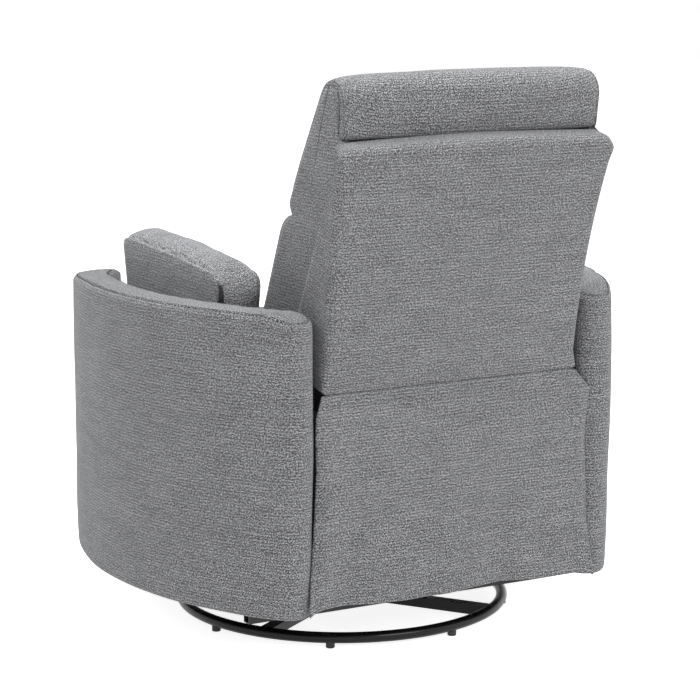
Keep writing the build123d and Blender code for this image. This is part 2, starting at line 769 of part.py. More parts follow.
with BuildPart() as link_a_rivets:
    with BuildSketch(side_view(link_a_layer + plate)):
        with Locations(elbow):
            Circle(rivet_radius)
    extrude(amount=-(plate + layer + side_play))
    with BuildSketch(side_view(link_b_layer - side_play)):
        with Locations(elbow):
            Circle(rivet_head)
    extrude(amount=-rivet_head_height)
    with BuildSketch(side_view(link_a_layer)):
        with Locations(stay):
            Circle(rivet_radius)
    extrude(amount=plate + layer + side_play)
    with BuildSketch(side_view(seat_layer + plate + side_play)):
        with Locations(stay):
            Circle(rivet_head)
    extrude(amount=rivet_head_height)
    mirror(about=Plane.YZ)
pieces["link_a_rivets"] = link_a_rivets

with BuildPart() as link_b_rivets:
    with BuildSketch(side_view(link_b_layer)):
        with Locations(tail):
            Circle(rivet_radius)
    extrude(amount=carrier_layer + plate + side_play - link_b_layer)
    with BuildSketch(side_view(carrier_layer + plate + side_play)):
        with Locations(tail):
            Circle(slack_head)
    extrude(amount=rivet_head_height)
    with BuildSketch(side_view(link_b_layer)):
        with Locations(foot_pivot):
            Circle(rivet_radius)
    extrude(amount=plate + layer + side_play)
    mirror(about=Plane.YZ)
pieces["link_b_rivets"] = link_b_rivets

# ---------------------------------------------------------------- footrest
with BuildPart() as footrest_board_panel:
    with BuildSketch(Plane.XZ.offset(-footrest_board_front)):
        with Locations((0, (footrest_bottom + footrest_top) / 2)):
            RectangleRounded(2 * (footrest_half_width - footrest_board_inset),
                             footrest_top - footrest_bottom - 2 * footrest_board_inset, 12)
    extrude(amount=-footrest_board)
pieces["footrest_board"] = footrest_board_panel

board_rear = footrest_board_front + footrest_board
with BuildPart() as footrest_brackets:
    with BuildSketch(side_view(link_a_layer)):
        with BuildLine():
            bracket_top = stay_end[1] + link_width / 2 + 4
            bracket_bottom = foot_pivot[1] - link_width / 2 - 4
            bracket_rear = foot_pivot[0] + link_width / 2
            FilletPolyline((board_rear, bracket_bottom), (bracket_rear, bracket_bottom),
                           (bracket_rear, bracket_top), (board_rear, bracket_top), radius=[1, 9, 9, 1], close=True)
        make_face()
        with Locations(foot_pivot):
            Circle(free_hole, mode=Mode.SUBTRACT)
        with Locations(stay_end):
            Circle(rivet_radius, mode=Mode.SUBTRACT)
    extrude(amount=plate)
    with BuildSketch(Plane.XZ.offset(-board_rear)):
        with Locations((link_a_layer + plate, (bracket_top + bracket_bottom) / 2)):
            Rectangle(footrest_bracket_flange, bracket_top - bracket_bottom - 4, align=(Align.MAX, Align.CENTER))
    extrude(amount=-2)
    mirror(about=Plane.YZ)
pieces["footrest_brackets"] = footrest_brackets

with BuildPart() as footrest_pins:
    with BuildSketch(side_view(link_a_layer)):
        with Locations(stay_end):
            Circle(rivet_radius)
    extrude(amount=plate + layer + side_play)
    with BuildSketch(side_view(seat_layer + plate + side_play)):
        with Locations(stay_end):
            Circle(slack_head)
    extrude(amount=rivet_head_height)
    mirror(about=Plane.YZ)
pieces["footrest_pins"] = footrest_pins

pieces["footrest_pad"] = crowned(
    across(footrest_half_width, 18),
    [(footrest_board_front - soft_gap, footrest_bottom, 0, 0),
     (footrest_board_front - soft_gap, footrest_top - 2, 0, 0),
     (footrest_face + 16, footrest_top - 4, -8, 2),
     (footrest_face + 10, (footrest_top + footrest_bottom) / 2, -10, 0),
     (footrest_face + 16, footrest_bottom + 2, -8, -2)],
    [3, 3, 20, footrest_face_round, 20])

# ---------------------------------------------------------------- back frame
stile_rear = panel_wall
with BuildPart() as back_stiles:
    with BuildSketch(back_plane(stile_rear)):
        with Locations((stile_x, -stile_below)):
            Rectangle(stile_width, panel_height - panel_wall - 8 + stile_below, align=(Align.MAX, Align.MIN))
    extrude(amount=stile_depth)
    mirror(about=Plane.YZ)
pieces["back_stiles"] = back_stiles

with BuildPart() as back_rails:
    stile_top = panel_height - panel_wall - 8
    for rail_level in (-stile_below, stile_top / 2 - rail_height, stile_top - rail_height):
        with BuildSketch(back_plane(stile_rear)):
            with Locations((0, rail_level)):
                Rectangle(2 * (stile_x - stile_width), rail_height, align=(Align.CENTER, Align.MIN))
        extrude(amount=rail_depth)
pieces["back_rails"] = back_rails

with BuildPart() as back_outer_panel:
    panel_outline = [(-panel_bottom_half, 0), (panel_bottom_half, 0), (panel_top_half, panel_height),
                     (-panel_top_half, panel_height)]
    with BuildSketch(back_plane(0)):
        with BuildLine():
            FilletPolyline(*panel_outline, radius=[2, 2, panel_corner, panel_corner], close=True)
        make_face()
    extrude(amount=panel_depth)
    rear_edges = back_outer_panel.faces().sort_by(Axis.Y)[-1].edges().sort_by(Axis.Z)[1:]
    fillet(rear_edges, panel_round)
    with BuildSketch(back_plane(panel_wall)):
        with BuildLine():
            FilletPolyline((panel_wall - panel_bottom_half, -panel_wall), (panel_bottom_half - panel_wall, -panel_wall),
                           (panel_top_half - panel_wall, panel_height - panel_wall),
                           (panel_wall - panel_top_half, panel_height - panel_wall),
                           radius=[2, 2, panel_corner - panel_wall, panel_corner - panel_wall], close=True)
        make_face()
    extrude(amount=panel_depth, mode=Mode.SUBTRACT)
pieces["back_outer_panel"] = back_outer_panel

bracket_x = carrier_layer
with BuildPart() as back_hinge_brackets:
    arm_end = recline_arm / cos(radians(recline_angle)) + recline_pin_radius + recline_slack
    stile_foot = back_point(8 - stile_below, stile_rear + stile_depth / 2)
    stile_end = back_point(bracket_up, stile_rear + stile_depth / 2)
    slot_half = recline_pin_radius + recline_slack
    with BuildSketch(side_view(bracket_x)):
        for first, last, width in ((hinge, stile_foot, 2 * hinge_ear - 8), (stile_foot, stile_end, stile_depth - 4),
                                   (hinge, (hinge_y, hinge_z - arm_end), 30)):
            with BuildSketch(mode=Mode.PRIVATE) as limb:
                with Locations(first, last):
                    Circle(width / 2)
                make_hull()
            add(limb)
        with Locations(hinge):
            Circle(hinge_pin_radius + running_gap, mode=Mode.SUBTRACT)
        slot_top = recline_pin[1] + recline_slack
        slot_bottom = hinge_z - recline_arm / cos(radians(recline_angle))
        with Locations((hinge_y, (slot_top + slot_bottom) / 2)):
            SlotCenterToCenter(slot_top - slot_bottom, 2 * slot_half, rotation=90, mode=Mode.SUBTRACT)
    extrude(amount=plate)
    mirror(about=Plane.YZ)
pieces["back_hinge_brackets"] = back_hinge_brackets

# ---------------------------------------------------------------- back cushions
cushion_depth = panel_depth + soft_gap
channel_up = panel_height - channel_below
lower_rear = back_point(-cushion_below, cushion_depth)
channel_rear = back_point(channel_up, cushion_depth)
panel_top_front = back_point(panel_height + soft_gap, cushion_depth)
panel_top_rear = back_point(panel_height + soft_gap, panel_seat)


def back_corner(up, forward, dy, dz):
    """Corner of a back cushion: its place on the panel, and how far the crown moves it."""
    return back_point(up, forward) + (dy, dz)


pieces["back_cushion_lower"] = crowned(
    across(back_cushion_half, 30),
    [back_corner(-2 * cushion_below, base_depth, -20, 0), lower_rear + (0, 0),
     moved(channel_rear, (0, -soft_gap)) + (0, 0), back_corner(channel_up - 15, channel_depth, -18, 2),
     back_corner(lumbar_up, lumbar_depth, -34, 4)],
    [20, 4, 4, 34, back_face_round])

pieces["back_cushion_upper"] = crowned(
    across(back_cushion_half, 30),
    [back_corner(channel_up - 5, channel_depth - 5, -22, 0), channel_rear + (0, 0),
     panel_top_front + (0, 0), panel_top_rear + (0, 0),
     back_corner(panel_height + head_rise, panel_seat + 17, 2, 10),
     back_corner(panel_height + head_rise - 44, head_depth, -20, 26),
     back_corner(panel_height - 42, neck_depth, -32, 6)],
    [28, 3, 3, 12, 34, 46, back_face_round])


# ---------------------------------------------------------------- hanging fabric
# Each level is a strip that swings back and forth in arcs: (height, half width, rear_y, depth of the folds)
flap_levels = [
    (seam_z - soft_gap, panel_bottom_half, seam_y - flap_thickness - 1, 0.6),
    (flap_shoulder_z, flap_shoulder_half, flap_shoulder_y - 1, 1.2),
    ((flap_shoulder_z + flap_hem_z) / 2, (flap_shoulder_half + flap_hem_half) / 2,
     (flap_shoulder_y + flap_hem_y) / 2, flap_wave / 2),
    (flap_hem_z, flap_hem_half, flap_hem_y, flap_wave),
]

with BuildPart() as back_flap:
    for level, half_width, front_y, depth in flap_levels:
        with BuildSketch(Plane.XY.offset(level)):
            with BuildLine():
                step = half_width / flap_folds
                stops = [-half_width + step * number for number in range(2 * flap_folds + 1)]
                for face_y in (front_y, front_y + flap_thickness):
                    for number, (first, last) in enumerate(zip(stops, stops[1:])):
                        swing = depth if number % 2 == 0 else 0
                        ThreePointArc((first, face_y + depth / 2), ((first + last) / 2, face_y + swing),
                                      (last, face_y + depth / 2))
                for edge in (stops[0], stops[-1]):
                    Line((edge, front_y + depth / 2), (edge, front_y + depth / 2 + flap_thickness))
            make_face()
    loft(ruled=True)
pieces["back_flap"] = back_flap

# ---------------------------------------------------------------- release
with BuildPart() as release_lever:
    with BuildSketch(side_view(-release_lever_x)):
        with BuildSketch(mode=Mode.PRIVATE) as stem:
            with Locations(release_pivot):
                Circle(release_shaft_hub)
            with Locations(release_grip):
                Circle(release_stem / 2)
            make_hull()
        add(stem)
        with Locations(release_grip):
            RectangleRounded(release_grip_length, release_grip_height, 16)
    extrude(amount=-release_lever_thickness)
    grip_edges = release_lever.edges().filter_by(Plane.YZ)
    chamfer(grip_edges, 1)
pieces["release_lever"] = release_lever

with BuildPart() as release_shaft:
    with BuildSketch(side_view(-release_lever_x)):
        with Locations(release_pivot):
            Circle(release_shaft_radius - running_gap)
    extrude(amount=release_lever_x - pawl_x)
pieces["release_shaft"] = release_shaft

with BuildPart() as latch_pawl:
    with BuildSketch(side_view(-pawl_x)):
        with BuildSketch(mode=Mode.PRIVATE) as pawl:
            with Locations(release_pivot):
                Circle(release_shaft_hub)
            with Locations(moved(release_pivot, pawl_tip)):
                Circle(release_shaft_radius)
            make_hull()
        add(pawl)
    extrude(amount=plate)
pieces["latch_pawl"] = latch_pawl

# ---------------------------------------------------------------- write every piece
for name, piece in pieces.items():
    piece.part.label = name
    export_step(piece.part, f"parts/{name}.step")
    box = piece.part.bounding_box()
    print(f"{name:24s} {len(piece.part.solids()):2d} solids  volume {piece.part.volume / 1e3:10.1f} cm3  "
          f"z {box.min.Z:7.1f} to {box.max.Z:7.1f}")
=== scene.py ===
# %% [markdown]
# A swivel glider recliner, seen from behind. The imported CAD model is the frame: it brings the
# steel base, the glide links, the footrest linkage and the wooden frame as they are. Everything
# padded or sewn is made here, as surfaces worked out with numpy and dressed in one woven cloth.

# %% Load the frame
import json
import math

import bmesh
import bpy
import numpy as np
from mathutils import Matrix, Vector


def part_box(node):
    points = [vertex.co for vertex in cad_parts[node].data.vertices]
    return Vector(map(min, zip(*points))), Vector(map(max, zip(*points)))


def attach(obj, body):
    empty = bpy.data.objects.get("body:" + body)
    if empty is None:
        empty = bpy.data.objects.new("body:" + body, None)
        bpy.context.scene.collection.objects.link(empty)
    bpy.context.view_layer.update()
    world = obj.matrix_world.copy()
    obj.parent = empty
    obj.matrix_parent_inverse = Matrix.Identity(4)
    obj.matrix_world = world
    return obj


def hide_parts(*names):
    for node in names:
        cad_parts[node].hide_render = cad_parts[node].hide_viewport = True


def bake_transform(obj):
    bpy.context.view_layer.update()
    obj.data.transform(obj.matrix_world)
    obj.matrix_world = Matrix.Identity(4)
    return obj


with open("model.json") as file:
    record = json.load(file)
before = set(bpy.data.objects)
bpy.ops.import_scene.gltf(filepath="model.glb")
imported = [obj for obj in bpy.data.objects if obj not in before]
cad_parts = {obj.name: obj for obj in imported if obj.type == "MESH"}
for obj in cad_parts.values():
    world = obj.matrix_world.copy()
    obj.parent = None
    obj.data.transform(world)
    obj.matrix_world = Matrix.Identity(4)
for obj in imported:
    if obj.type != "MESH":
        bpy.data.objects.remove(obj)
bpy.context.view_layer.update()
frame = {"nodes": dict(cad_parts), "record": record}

# %% [markdown]
# Every soft piece is a grid of points: one direction runs round the piece, the other across it.
# Each point also gets a place on the cloth, in metres, so the weave keeps its real size and runs
# the way the cloth was cut. Grids that belong together are joined and their edges welded. Modelling
# by hand would give looser shapes; a grid keeps every seam where the pattern puts it.

# %% Grids to meshes
WELD = 0.00005


def piece(name, grids, cover):
    """A mesh from grids. Each grid is (points, cloth): arrays (rows, columns, 3) and (rows, columns, 2).

    Each quad joins the points (i, j), (i + 1, j), (i + 1, j + 1) and (i, j + 1) of its grid, and the
    cloth's places become the UV map.
    """
    points, cloth, faces, start = [], [], [], 0
    for p, c in grids:
        rows, columns = p.shape[:2]
        index = start + np.arange(rows * columns).reshape(rows, columns)
        quads = np.stack([index[:-1, :-1], index[1:, :-1], index[1:, 1:], index[:-1, 1:]], axis=-1)
        faces.append(quads.reshape(-1, 4))
        points.append(p.reshape(-1, 3))
        cloth.append(c.reshape(-1, 2))
        start += rows * columns
    points, cloth, faces = np.concatenate(points), np.concatenate(cloth), np.concatenate(faces)
    mesh = bpy.data.meshes.new(name)
    mesh.from_pydata(points.tolist(), [], faces.tolist())
    layer = mesh.uv_layers.new(name="cloth")
    corners = np.empty(len(mesh.loops), np.int32)
    mesh.loops.foreach_get("vertex_index", corners)
    layer.data.foreach_set("uv", cloth[corners].astype(np.float32).ravel())
    obj = bpy.data.objects.new(name, mesh)
    bpy.context.scene.collection.objects.link(obj)
    weld(obj)
    obj.data.materials.append(cover)
    print(f"{name}: {len(obj.data.vertices)} points, {len(obj.data.polygons)} faces")
    return obj


def weld(obj):
    """Merges points closer than WELD at seams and poles, turns faces outwards and shades them smooth."""
    work = bmesh.new()
    work.from_mesh(obj.data)
    bmesh.ops.remove_doubles(work, verts=work.verts, dist=WELD)
    bmesh.ops.recalc_face_normals(work, faces=work.faces)
    work.to_mesh(obj.data)
    work.free()
    obj.data.polygons.foreach_set("use_smooth", np.ones(len(obj.data.polygons), bool))
    obj.data.update()


def stack(*parts):
    """Joins arrays of x, y and z (or u and v) into points, after spreading each over the grid."""
    return np.stack(np.broadcast_arrays(*parts), axis=-1)


def lengths(line):
    """The length walked to each point of a line: the running sum of the steps between its points."""
    return np.concatenate([[0], np.cumsum(np.linalg.norm(np.diff(line, axis=0), axis=1))])


print("weld distance", WELD * 1000, "mm")

# %% [markdown]
# ## Outlines
# A padded piece starts as a polygon whose corners are rounded by arcs. The outline is sampled at
# even steps along its length, so the cloth lies on it without stretching.

# %% Rounded outlines
ARC_STEPS = 25


def rounded(corners, radii, count):
    """Closed outline through rounded corners, as count + 1 points at even steps; the last is the first.

    At each corner the arc touches both sides at radius / tan(half the angle between them), and its
    points are slid along the arc by equal angles. The straight parts lie between the arcs.
    """
    corners, radii = np.asarray(corners, float), np.asarray(radii, float)
    before, after = np.roll(corners, 1, 0) - corners, np.roll(corners, -1, 0) - corners
    before /= np.linalg.norm(before, axis=1)[:, None]
    after /= np.linalg.norm(after, axis=1)[:, None]
    half = np.arccos(np.clip((before * after).sum(1), -1, 1)) / 2
    middle = before + after
    middle /= np.linalg.norm(middle, axis=1)[:, None]
    centres = corners + middle * (radii / np.sin(half))[:, None]
    first = corners + before * (radii / np.tan(half))[:, None] - centres
    last = corners + after * (radii / np.tan(half))[:, None] - centres
    start = np.arctan2(first[:, 1], first[:, 0])
    turn = (np.arctan2(last[:, 1], last[:, 0]) - start + np.pi) % (2 * np.pi) - np.pi
    angle = start[:, None] + turn[:, None] * np.linspace(0, 1, ARC_STEPS)
    arcs = centres[:, None] + radii[:, None, None] * stack(np.cos(angle), np.sin(angle))
    dense = np.concatenate([arcs.reshape(-1, 2), arcs[0, :1]])
    along = lengths(dense)
    even = np.linspace(0, along[-1], count + 1)
    return stack(np.interp(even, along, dense[:, 0]), np.interp(even, along, dense[:, 1])), even


def outward(outline):
    """Outward unit normals of a closed outline.

    A normal is the difference of a point's neighbours turned by a right angle, with the sign of the
    outline's area, sum(x * next y - next x * y).
    """
    corners = outline[:-1]
    after, before = np.roll(corners, -1, 0), np.roll(corners, 1, 0)
    run = after - before
    normal = stack(run[:, 1], -run[:, 0]) / np.linalg.norm(run, axis=1)[:, None]
    area = np.sum(corners[:, 0] * after[:, 1] - after[:, 0] * corners[:, 1])
    normal *= np.sign(area)
    return np.concatenate([normal, normal[:1]])


def smooth_noise(shape, cells, seed):
    """Soft noise from -1 to 1 on a grid that closes in its first direction.

    Random values lie on a coarse lattice and are blended by (1 - cos(pi s)) / 2 between its points.
    """
    random = np.random.default_rng(seed)
    lattice = random.uniform(-1, 1, (cells[0], cells[1] + 1))
    u = np.linspace(0, cells[0], shape[0])
    v = np.linspace(0, cells[1] - 1e-6, shape[1])
    i, j = u.astype(int), v.astype(int)
    a = ((1 - np.cos((u - i) * np.pi)) / 2)[:, None]
    b = ((1 - np.cos((v - j) * np.pi)) / 2)[None, :]
    i0, i1 = (i % cells[0])[:, None], ((i + 1) % cells[0])[:, None]
    j0, j1 = j[None, :], (j + 1)[None, :]
    return ((lattice[i0, j0] * (1 - a) + lattice[i1, j0] * a) * (1 - b)
            + (lattice[i0, j1] * (1 - a) + lattice[i1, j1] * a) * b)


square_walk = rounded([(0, 0), (1, 0), (1, 1), (0, 1)], [0.1] * 4, 100)[1]
print("a one metre square with 0.1 m corners is", round(square_walk[-1], 3), "m round")

# %% [markdown]
# ## Cloth
# The cloth is a heather grey plain weave with thick soft weft yarns. It is far too fine for
# geometry, so one node group makes it: the yarns run along the cloth's first direction, each has
# its own shade, and short darker and lighter flecks break it up. It puts out a shade from 0 to 1
# and a height for the bump.

# %% Node helpers
def new_group(name, inputs, outputs):
    """An empty shader group with named float or vector inputs and outputs."""
    group = bpy.data.node_groups.new(name, "ShaderNodeTree")
    for label, kind, value in inputs:
        socket = group.interface.new_socket(label, in_out="INPUT", socket_type=kind)
        if value is not None:
            socket.default_value = value
    for label, kind in outputs:
        group.interface.new_socket(label, in_out="OUTPUT", socket_type=kind)
    return group, group.nodes.new("NodeGroupInput"), group.nodes.new("NodeGroupOutput")


def feed(tree, values, sockets):
    """Links or writes each value, a socket or a number, into its input socket."""
    for value, socket in zip(values, sockets):
        if isinstance(value, bpy.types.NodeSocket):
            tree.links.new(value, socket)
        elif value is not None:
            socket.default_value = value


def math_node(tree, operation, a, b=None):
    """A Math node; a and b are sockets or numbers."""
    node = tree.nodes.new("ShaderNodeMath")
    node.operation = operation
    feed(tree, (a, b), node.inputs)
    return node.outputs[0]


def combine(tree, x, y, z=0.0):
    """A vector from three sockets or numbers."""
    node = tree.nodes.new("ShaderNodeCombineXYZ")
    feed(tree, (x, y, z), node.inputs)
    return node.outputs[0]


def noise(tree, vector, scale, detail=2.0, roughness=0.5):
    """A Noise Texture's factor, about 0.3 to 0.7."""
    node = tree.nodes.new("ShaderNodeTexNoise")
    node.inputs["Scale"].default_value = scale
    node.inputs["Detail"].default_value = detail
    node.inputs["Roughness"].default_value = roughness
    tree.links.new(vector, node.inputs["Vector"])
    return node.outputs["Fac"]


def spread(tree, value, low, high, to_low=0.0, to_high=1.0):
    """A Map Range node: value from low..high becomes to_low..to_high, and stays within them."""
    node = tree.nodes.new("ShaderNodeMapRange")
    tree.links.new(value, node.inputs["Value"])
    for name, number in (("From Min", low), ("From Max", high), ("To Min", to_low), ("To Max", to_high)):
        node.inputs[name].default_value = number
    return node.outputs["Result"]


print("node helpers ready, Blender", bpy.app.version_string)

# %% [markdown]
# A plain weave has weft yarns over and under warp yarns. Here the weft pitch is 5.4 mm and the
# warp pitch 3 mm, read from the rows that show on the flap. Shade is mostly flecks and fuzz,
# because the yarns are spun from fibres of several greys. A part of it is painted shade: the
# colour is darker in the grooves between weft rows.

# %% Weave group
WEFT_PITCH, WARP_PITCH = 0.0054, 0.0030
BEND_U, BEND_V = 0.002, 0.0035
# The weft's share of the shade makes the colour darker in the grooves between weft rows: painted shade.
SHADE_SHARES = {"flecks": 0.38, "fuzz": 0.38, "slubs": 0.05, "yarns": 0.04, "weft": 0.12, "clouds": 0.07}
HEIGHT_SHARES = {"weft": 0.22, "warp": 0.22, "flecks": 0.45, "fuzz": 0.35}


def weighted(tree, parts, shares):
    """The sum of each part times its share, in the order of the shares."""
    total = None
    for name, share in shares.items():
        term = math_node(tree, "MULTIPLY", parts[name], share)
        total = term if total is None else math_node(tree, "ADD", total, term)
    return total


def weave_group():
    """Shade and height of the weave at a place on the cloth, in metres.

    The place is first bent a little by noise, as yarns never lie quite straight. The weft's height is
    |sin(pi v / pitch)| and the warp crosses it as sin(2 pi u / pitch), moved half a pitch on every
    other yarn. Flecks, slubs and yarn shades are noises stretched along the yarn, fuzz is a fine
    noise and clouds a broad one. The weft's height also goes into the shade, as painted shade that
    darkens the grooves between weft rows.
    """
    group, source, sink = new_group(
        "Weave",
        [("Place", "NodeSocketVector", None), ("Weft", "NodeSocketFloat", WEFT_PITCH),
         ("Warp", "NodeSocketFloat", WARP_PITCH)],
        [("Shade", "NodeSocketFloat"), ("Height", "NodeSocketFloat")])
    bend = noise(group, source.outputs["Place"], 55.0, 1.0)
    split = group.nodes.new("ShaderNodeSeparateXYZ")
    group.links.new(source.outputs["Place"], split.inputs[0])
    u = math_node(group, "ADD", split.outputs[0], math_node(group, "MULTIPLY", bend, BEND_U))
    v = math_node(group, "ADD", split.outputs[1], math_node(group, "MULTIPLY", bend, BEND_V))
    row = math_node(group, "DIVIDE", v, source.outputs["Weft"])
    wave = math_node(group, "SINE", math_node(group, "MULTIPLY", row, math.pi))
    weft = math_node(group, "ABSOLUTE", wave)
    count = math_node(group, "FLOOR", row)
    column = math_node(group, "DIVIDE", u, source.outputs["Warp"])
    phase = math_node(group, "ADD", math_node(group, "MULTIPLY", column, 2 * math.pi),
                      math_node(group, "MULTIPLY", count, math.pi))
    warp = spread(group, math_node(group, "SINE", phase), -1.0, 1.0)
    flecks = noise(group, combine(group, math_node(group, "MULTIPLY", column, 1.25),
                                  math_node(group, "MULTIPLY", row, 2.5), 3.1), 1.0, 2.0, 0.6)
    slubs = noise(group, combine(group, math_node(group, "MULTIPLY", column, 0.30), row, 7.7), 1.0, 1.0)
    yarns = noise(group, combine(group, math_node(group, "MULTIPLY", u, 9.0),
                                 math_node(group, "MULTIPLY", count, 1.7)), 1.0, 1.0)
    fuzz = noise(group, source.outputs["Place"], 470.0, 2.0, 0.65)
    clouds = noise(group, source.outputs["Place"], 14.0, 3.0, 0.6)
    # The weft in the shade is painted shade in the grooves between weft rows.
    shades = {"flecks": spread(group, flecks, 0.34, 0.66), "fuzz": spread(group, fuzz, 0.34, 0.66),
              "slubs": spread(group, slubs, 0.3, 0.7), "yarns": spread(group, yarns, 0.3, 0.7),
              "weft": weft, "clouds": clouds}
    heights = {"weft": weft, "warp": warp, "flecks": flecks, "fuzz": fuzz}
    group.links.new(weighted(group, shades, SHADE_SHARES), sink.inputs["Shade"])
    group.links.new(weighted(group, heights, HEIGHT_SHARES), sink.inputs["Height"])
    return group


weave = weave_group()
print("weave group:", len(weave.nodes), "nodes")

# %% [markdown]
# The cloth's colour runs from a charcoal yarn to a pale grey one, through the mid greys in
# between. A sheen makes the fibres' soft rim. The bump is small: a yarn stands about half a
# millimetre high. The pillows are the same cloth in a lighter tone, as painted light for the
# brighter light on their faces. The black lining and the dark strips at the pillows' rear seams
# share a dark tone; on the strips it is painted shade for the shadow in the seam's fold. The
# sewing thread is dark too, partly its own colour and partly painted shade in the seams.

# %% Upholstery
FIBRE_GREYS = [(0.22, 0.012), (0.41, 0.085), (0.57, 0.225), (0.78, 0.60)]
FIBRE_TINT = (0.985, 0.992, 1.02)
YARN_RELIEF = 0.0006


def colour_ramp(tree, value, stops):
    """A Color Ramp from (place, (r, g, b)) stops."""
    node = tree.nodes.new("ShaderNodeValToRGB")
    ramp = node.color_ramp
    while len(ramp.elements) < len(stops):
        ramp.elements.new(0.5)
    for element, (place, colour) in zip(ramp.elements, stops):
        element.position = place
        element.color = (*colour, 1.0)
    tree.links.new(value, node.inputs["Fac"])
    return node.outputs["Color"]


def bump(tree, shader, height, distance, strength=1.0):
    """A Bump node that feeds the shader's normal."""
    node = tree.nodes.new("ShaderNodeBump")
    node.inputs["Distance"].default_value = distance
    node.inputs["Strength"].default_value = strength
    tree.links.new(height, node.inputs["Height"])
    tree.links.new(node.outputs["Normal"], shader.inputs["Normal"])


def material(name):
    """A new material with its tree and its Principled shader."""
    made = bpy.data.materials.new(name)
    made.use_nodes = True
    return made, made.node_tree, made.node_tree.nodes["Principled BSDF"]


def upholstery(name, tone=0.70, sheen=0.22):
    """The woven cloth; tone brightens or darkens every yarn."""
    made, tree, shader = material(name)
    place = tree.nodes.new("ShaderNodeUVMap")
    place.uv_map = "cloth"
    cloth = tree.nodes.new("ShaderNodeGroup")
    cloth.node_tree = weave
    tree.links.new(place.outputs["UV"], cloth.inputs["Place"])
    cloth.inputs["Weft"].default_value = WEFT_PITCH
    cloth.inputs["Warp"].default_value = WARP_PITCH
    colours = [(at, tuple(grey * tone * tint for tint in FIBRE_TINT)) for at, grey in FIBRE_GREYS]
    tree.links.new(colour_ramp(tree, cloth.outputs["Shade"], colours), shader.inputs["Base Color"])
    shader.inputs["Roughness"].default_value = 0.95
    shader.inputs["Specular IOR Level"].default_value = 0.15
    shader.inputs["Sheen Weight"].default_value = sheen
    shader.inputs["Sheen Roughness"].default_value = 0.5
    shader.inputs["Sheen Tint"].default_value = (0.8, 0.82, 0.85, 1.0)
    bump(tree, shader, cloth.outputs["Height"], YARN_RELIEF, 0.8)
    return made


tweed = upholstery("tweed")
# The pillows' cloth is made lighter than the rest: painted light for the brighter light on their faces.
pillow_tweed_painted_light = upholstery("pillow_tweed_painted_light", tone=0.90, sheen=0.35)
# A dark cloth: the black lining behind the flap, and the strips at the pillows' rear seams, which are
# painted shade for the shadow in the seam's fold.
dark_cloth_and_painted_shade = upholstery("dark_cloth_with_painted_seam_shade", tone=0.22, sheen=0.05)
print("cloths:", tweed.name, pillow_tweed_painted_light.name, dark_cloth_and_painted_shade.name)

# %% [markdown]
# ## Flat pieces of cloth
# A sheet of cloth has a thickness, so it is built as a closed thin body: one face, the other face
# and a narrow strip round the edge. A Solidify modifier would do the same, but the grids keep
# their places on the cloth this way.

# %% Thin closed bodies
def two_faced(outside, inside, cloth):
    """Grids of a thin body: its outside, its inside turned round, and the four edges between them."""
    rims = [((outside[0], inside[0]), cloth[0]), ((inside[-1], outside[-1]), cloth[-1]),
            ((inside[:, 0], outside[:, 0]), cloth[:, 0]), ((outside[:, -1], inside[:, -1]), cloth[:, -1])]
    return [(outside, cloth), (inside[:, ::-1], cloth[:, ::-1])] + [
        (np.stack(pair, axis=1), np.stack([c, c], axis=1)) for pair, c in rims]


def slab(patch, thickness):
    """A patch of points as a closed thin body, thickness to each side of the patch.

    The normal is the cross product of the patch's two directions, turned to face the rear.
    """
    along, across = np.gradient(patch, axis=0), np.gradient(patch, axis=1)
    normal = np.cross(along, across)
    normal /= np.linalg.norm(normal, axis=2)[..., None]
    normal *= np.sign(np.sum(normal * [0, 1, 0]) or 1)
    rows, columns = np.linalg.norm(along, axis=2), np.linalg.norm(across, axis=2)
    cloth = stack(rows[:, :1].cumsum(0), columns[:1].cumsum(1))
    return two_faced(patch + normal * thickness, patch - normal * thickness, cloth)


sample = slab(stack(*np.meshgrid([0.0, 0.1], [0.0, 0.1], indexing="ij"), 0.0), 0.001)
print("a slab has", len(sample), "grids")

# %% [markdown]
# ## Barrel arms
# Each arm is a padded wall bent to an arc and closed at both ends by half circles. Seen from
# above, every point of it is a point of the arc's mid line plus a step outwards. So one function
# gives the mid line and the outward direction, and a profile gives how far out and how high.

# %% Arm plan
ARM_RADIUS, ARM_SWEEP, ARM_HALF = 0.621, math.radians(37.7), 0.035
ARM_CENTRE_X, ARM_CENTRE_Y = -0.190, -0.020
ARM_END_Y = ARM_RADIUS * math.sin(ARM_SWEEP) + ARM_HALF
SIDE_STEPS, END_STEPS = 190, 28


def arm_plan():
    """Mid line points and outward directions round an arm, with the length walked along its outside.

    The mid line is radius * (cos a, sin a) for a from -sweep to sweep. At each end it stays on the
    spot while the outward direction turns by half a circle.
    """
    sweep = np.linspace(-ARM_SWEEP, ARM_SWEEP, SIDE_STEPS)
    turn = np.linspace(0, np.pi, END_STEPS)
    mid = stack(np.cos(sweep), np.sin(sweep)) * ARM_RADIUS
    rear, front = np.tile(mid[-1], (END_STEPS, 1)), np.tile(mid[0], (END_STEPS, 1))
    mids = np.concatenate([mid, rear, mid[::-1], front])
    angles = np.concatenate([sweep, ARM_SWEEP + turn, sweep[::-1] + np.pi, np.pi - ARM_SWEEP + turn])
    mids, angles = np.concatenate([mids, mids[:1]]), np.concatenate([angles, [angles[0] + 2 * np.pi]])
    out = stack(np.cos(angles), np.sin(angles))
    walked = lengths(mids + ARM_HALF * out)
    return mids + [ARM_CENTRE_X, ARM_CENTRE_Y], out, walked


print("round an arm:", round(arm_plan()[2][-1], 3), "m")

# %% [markdown]
# The profile goes up the arm's side and over to the top's mid line. A seam runs two thirds of the
# way round the shoulder, where the side's cloth is sewn to the strip along the top.

# %% Arm profile
ARM_LOW, ARM_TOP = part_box("left_arm")[0].z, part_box("left_arm")[1].z
ARM_LOW_ROUND, ARM_TOP_ROUND, ARM_CROWN, ARM_BELLY = 0.008, 0.015, 0.001, 0.0025
ARM_SEAM_TURN = math.radians(62)


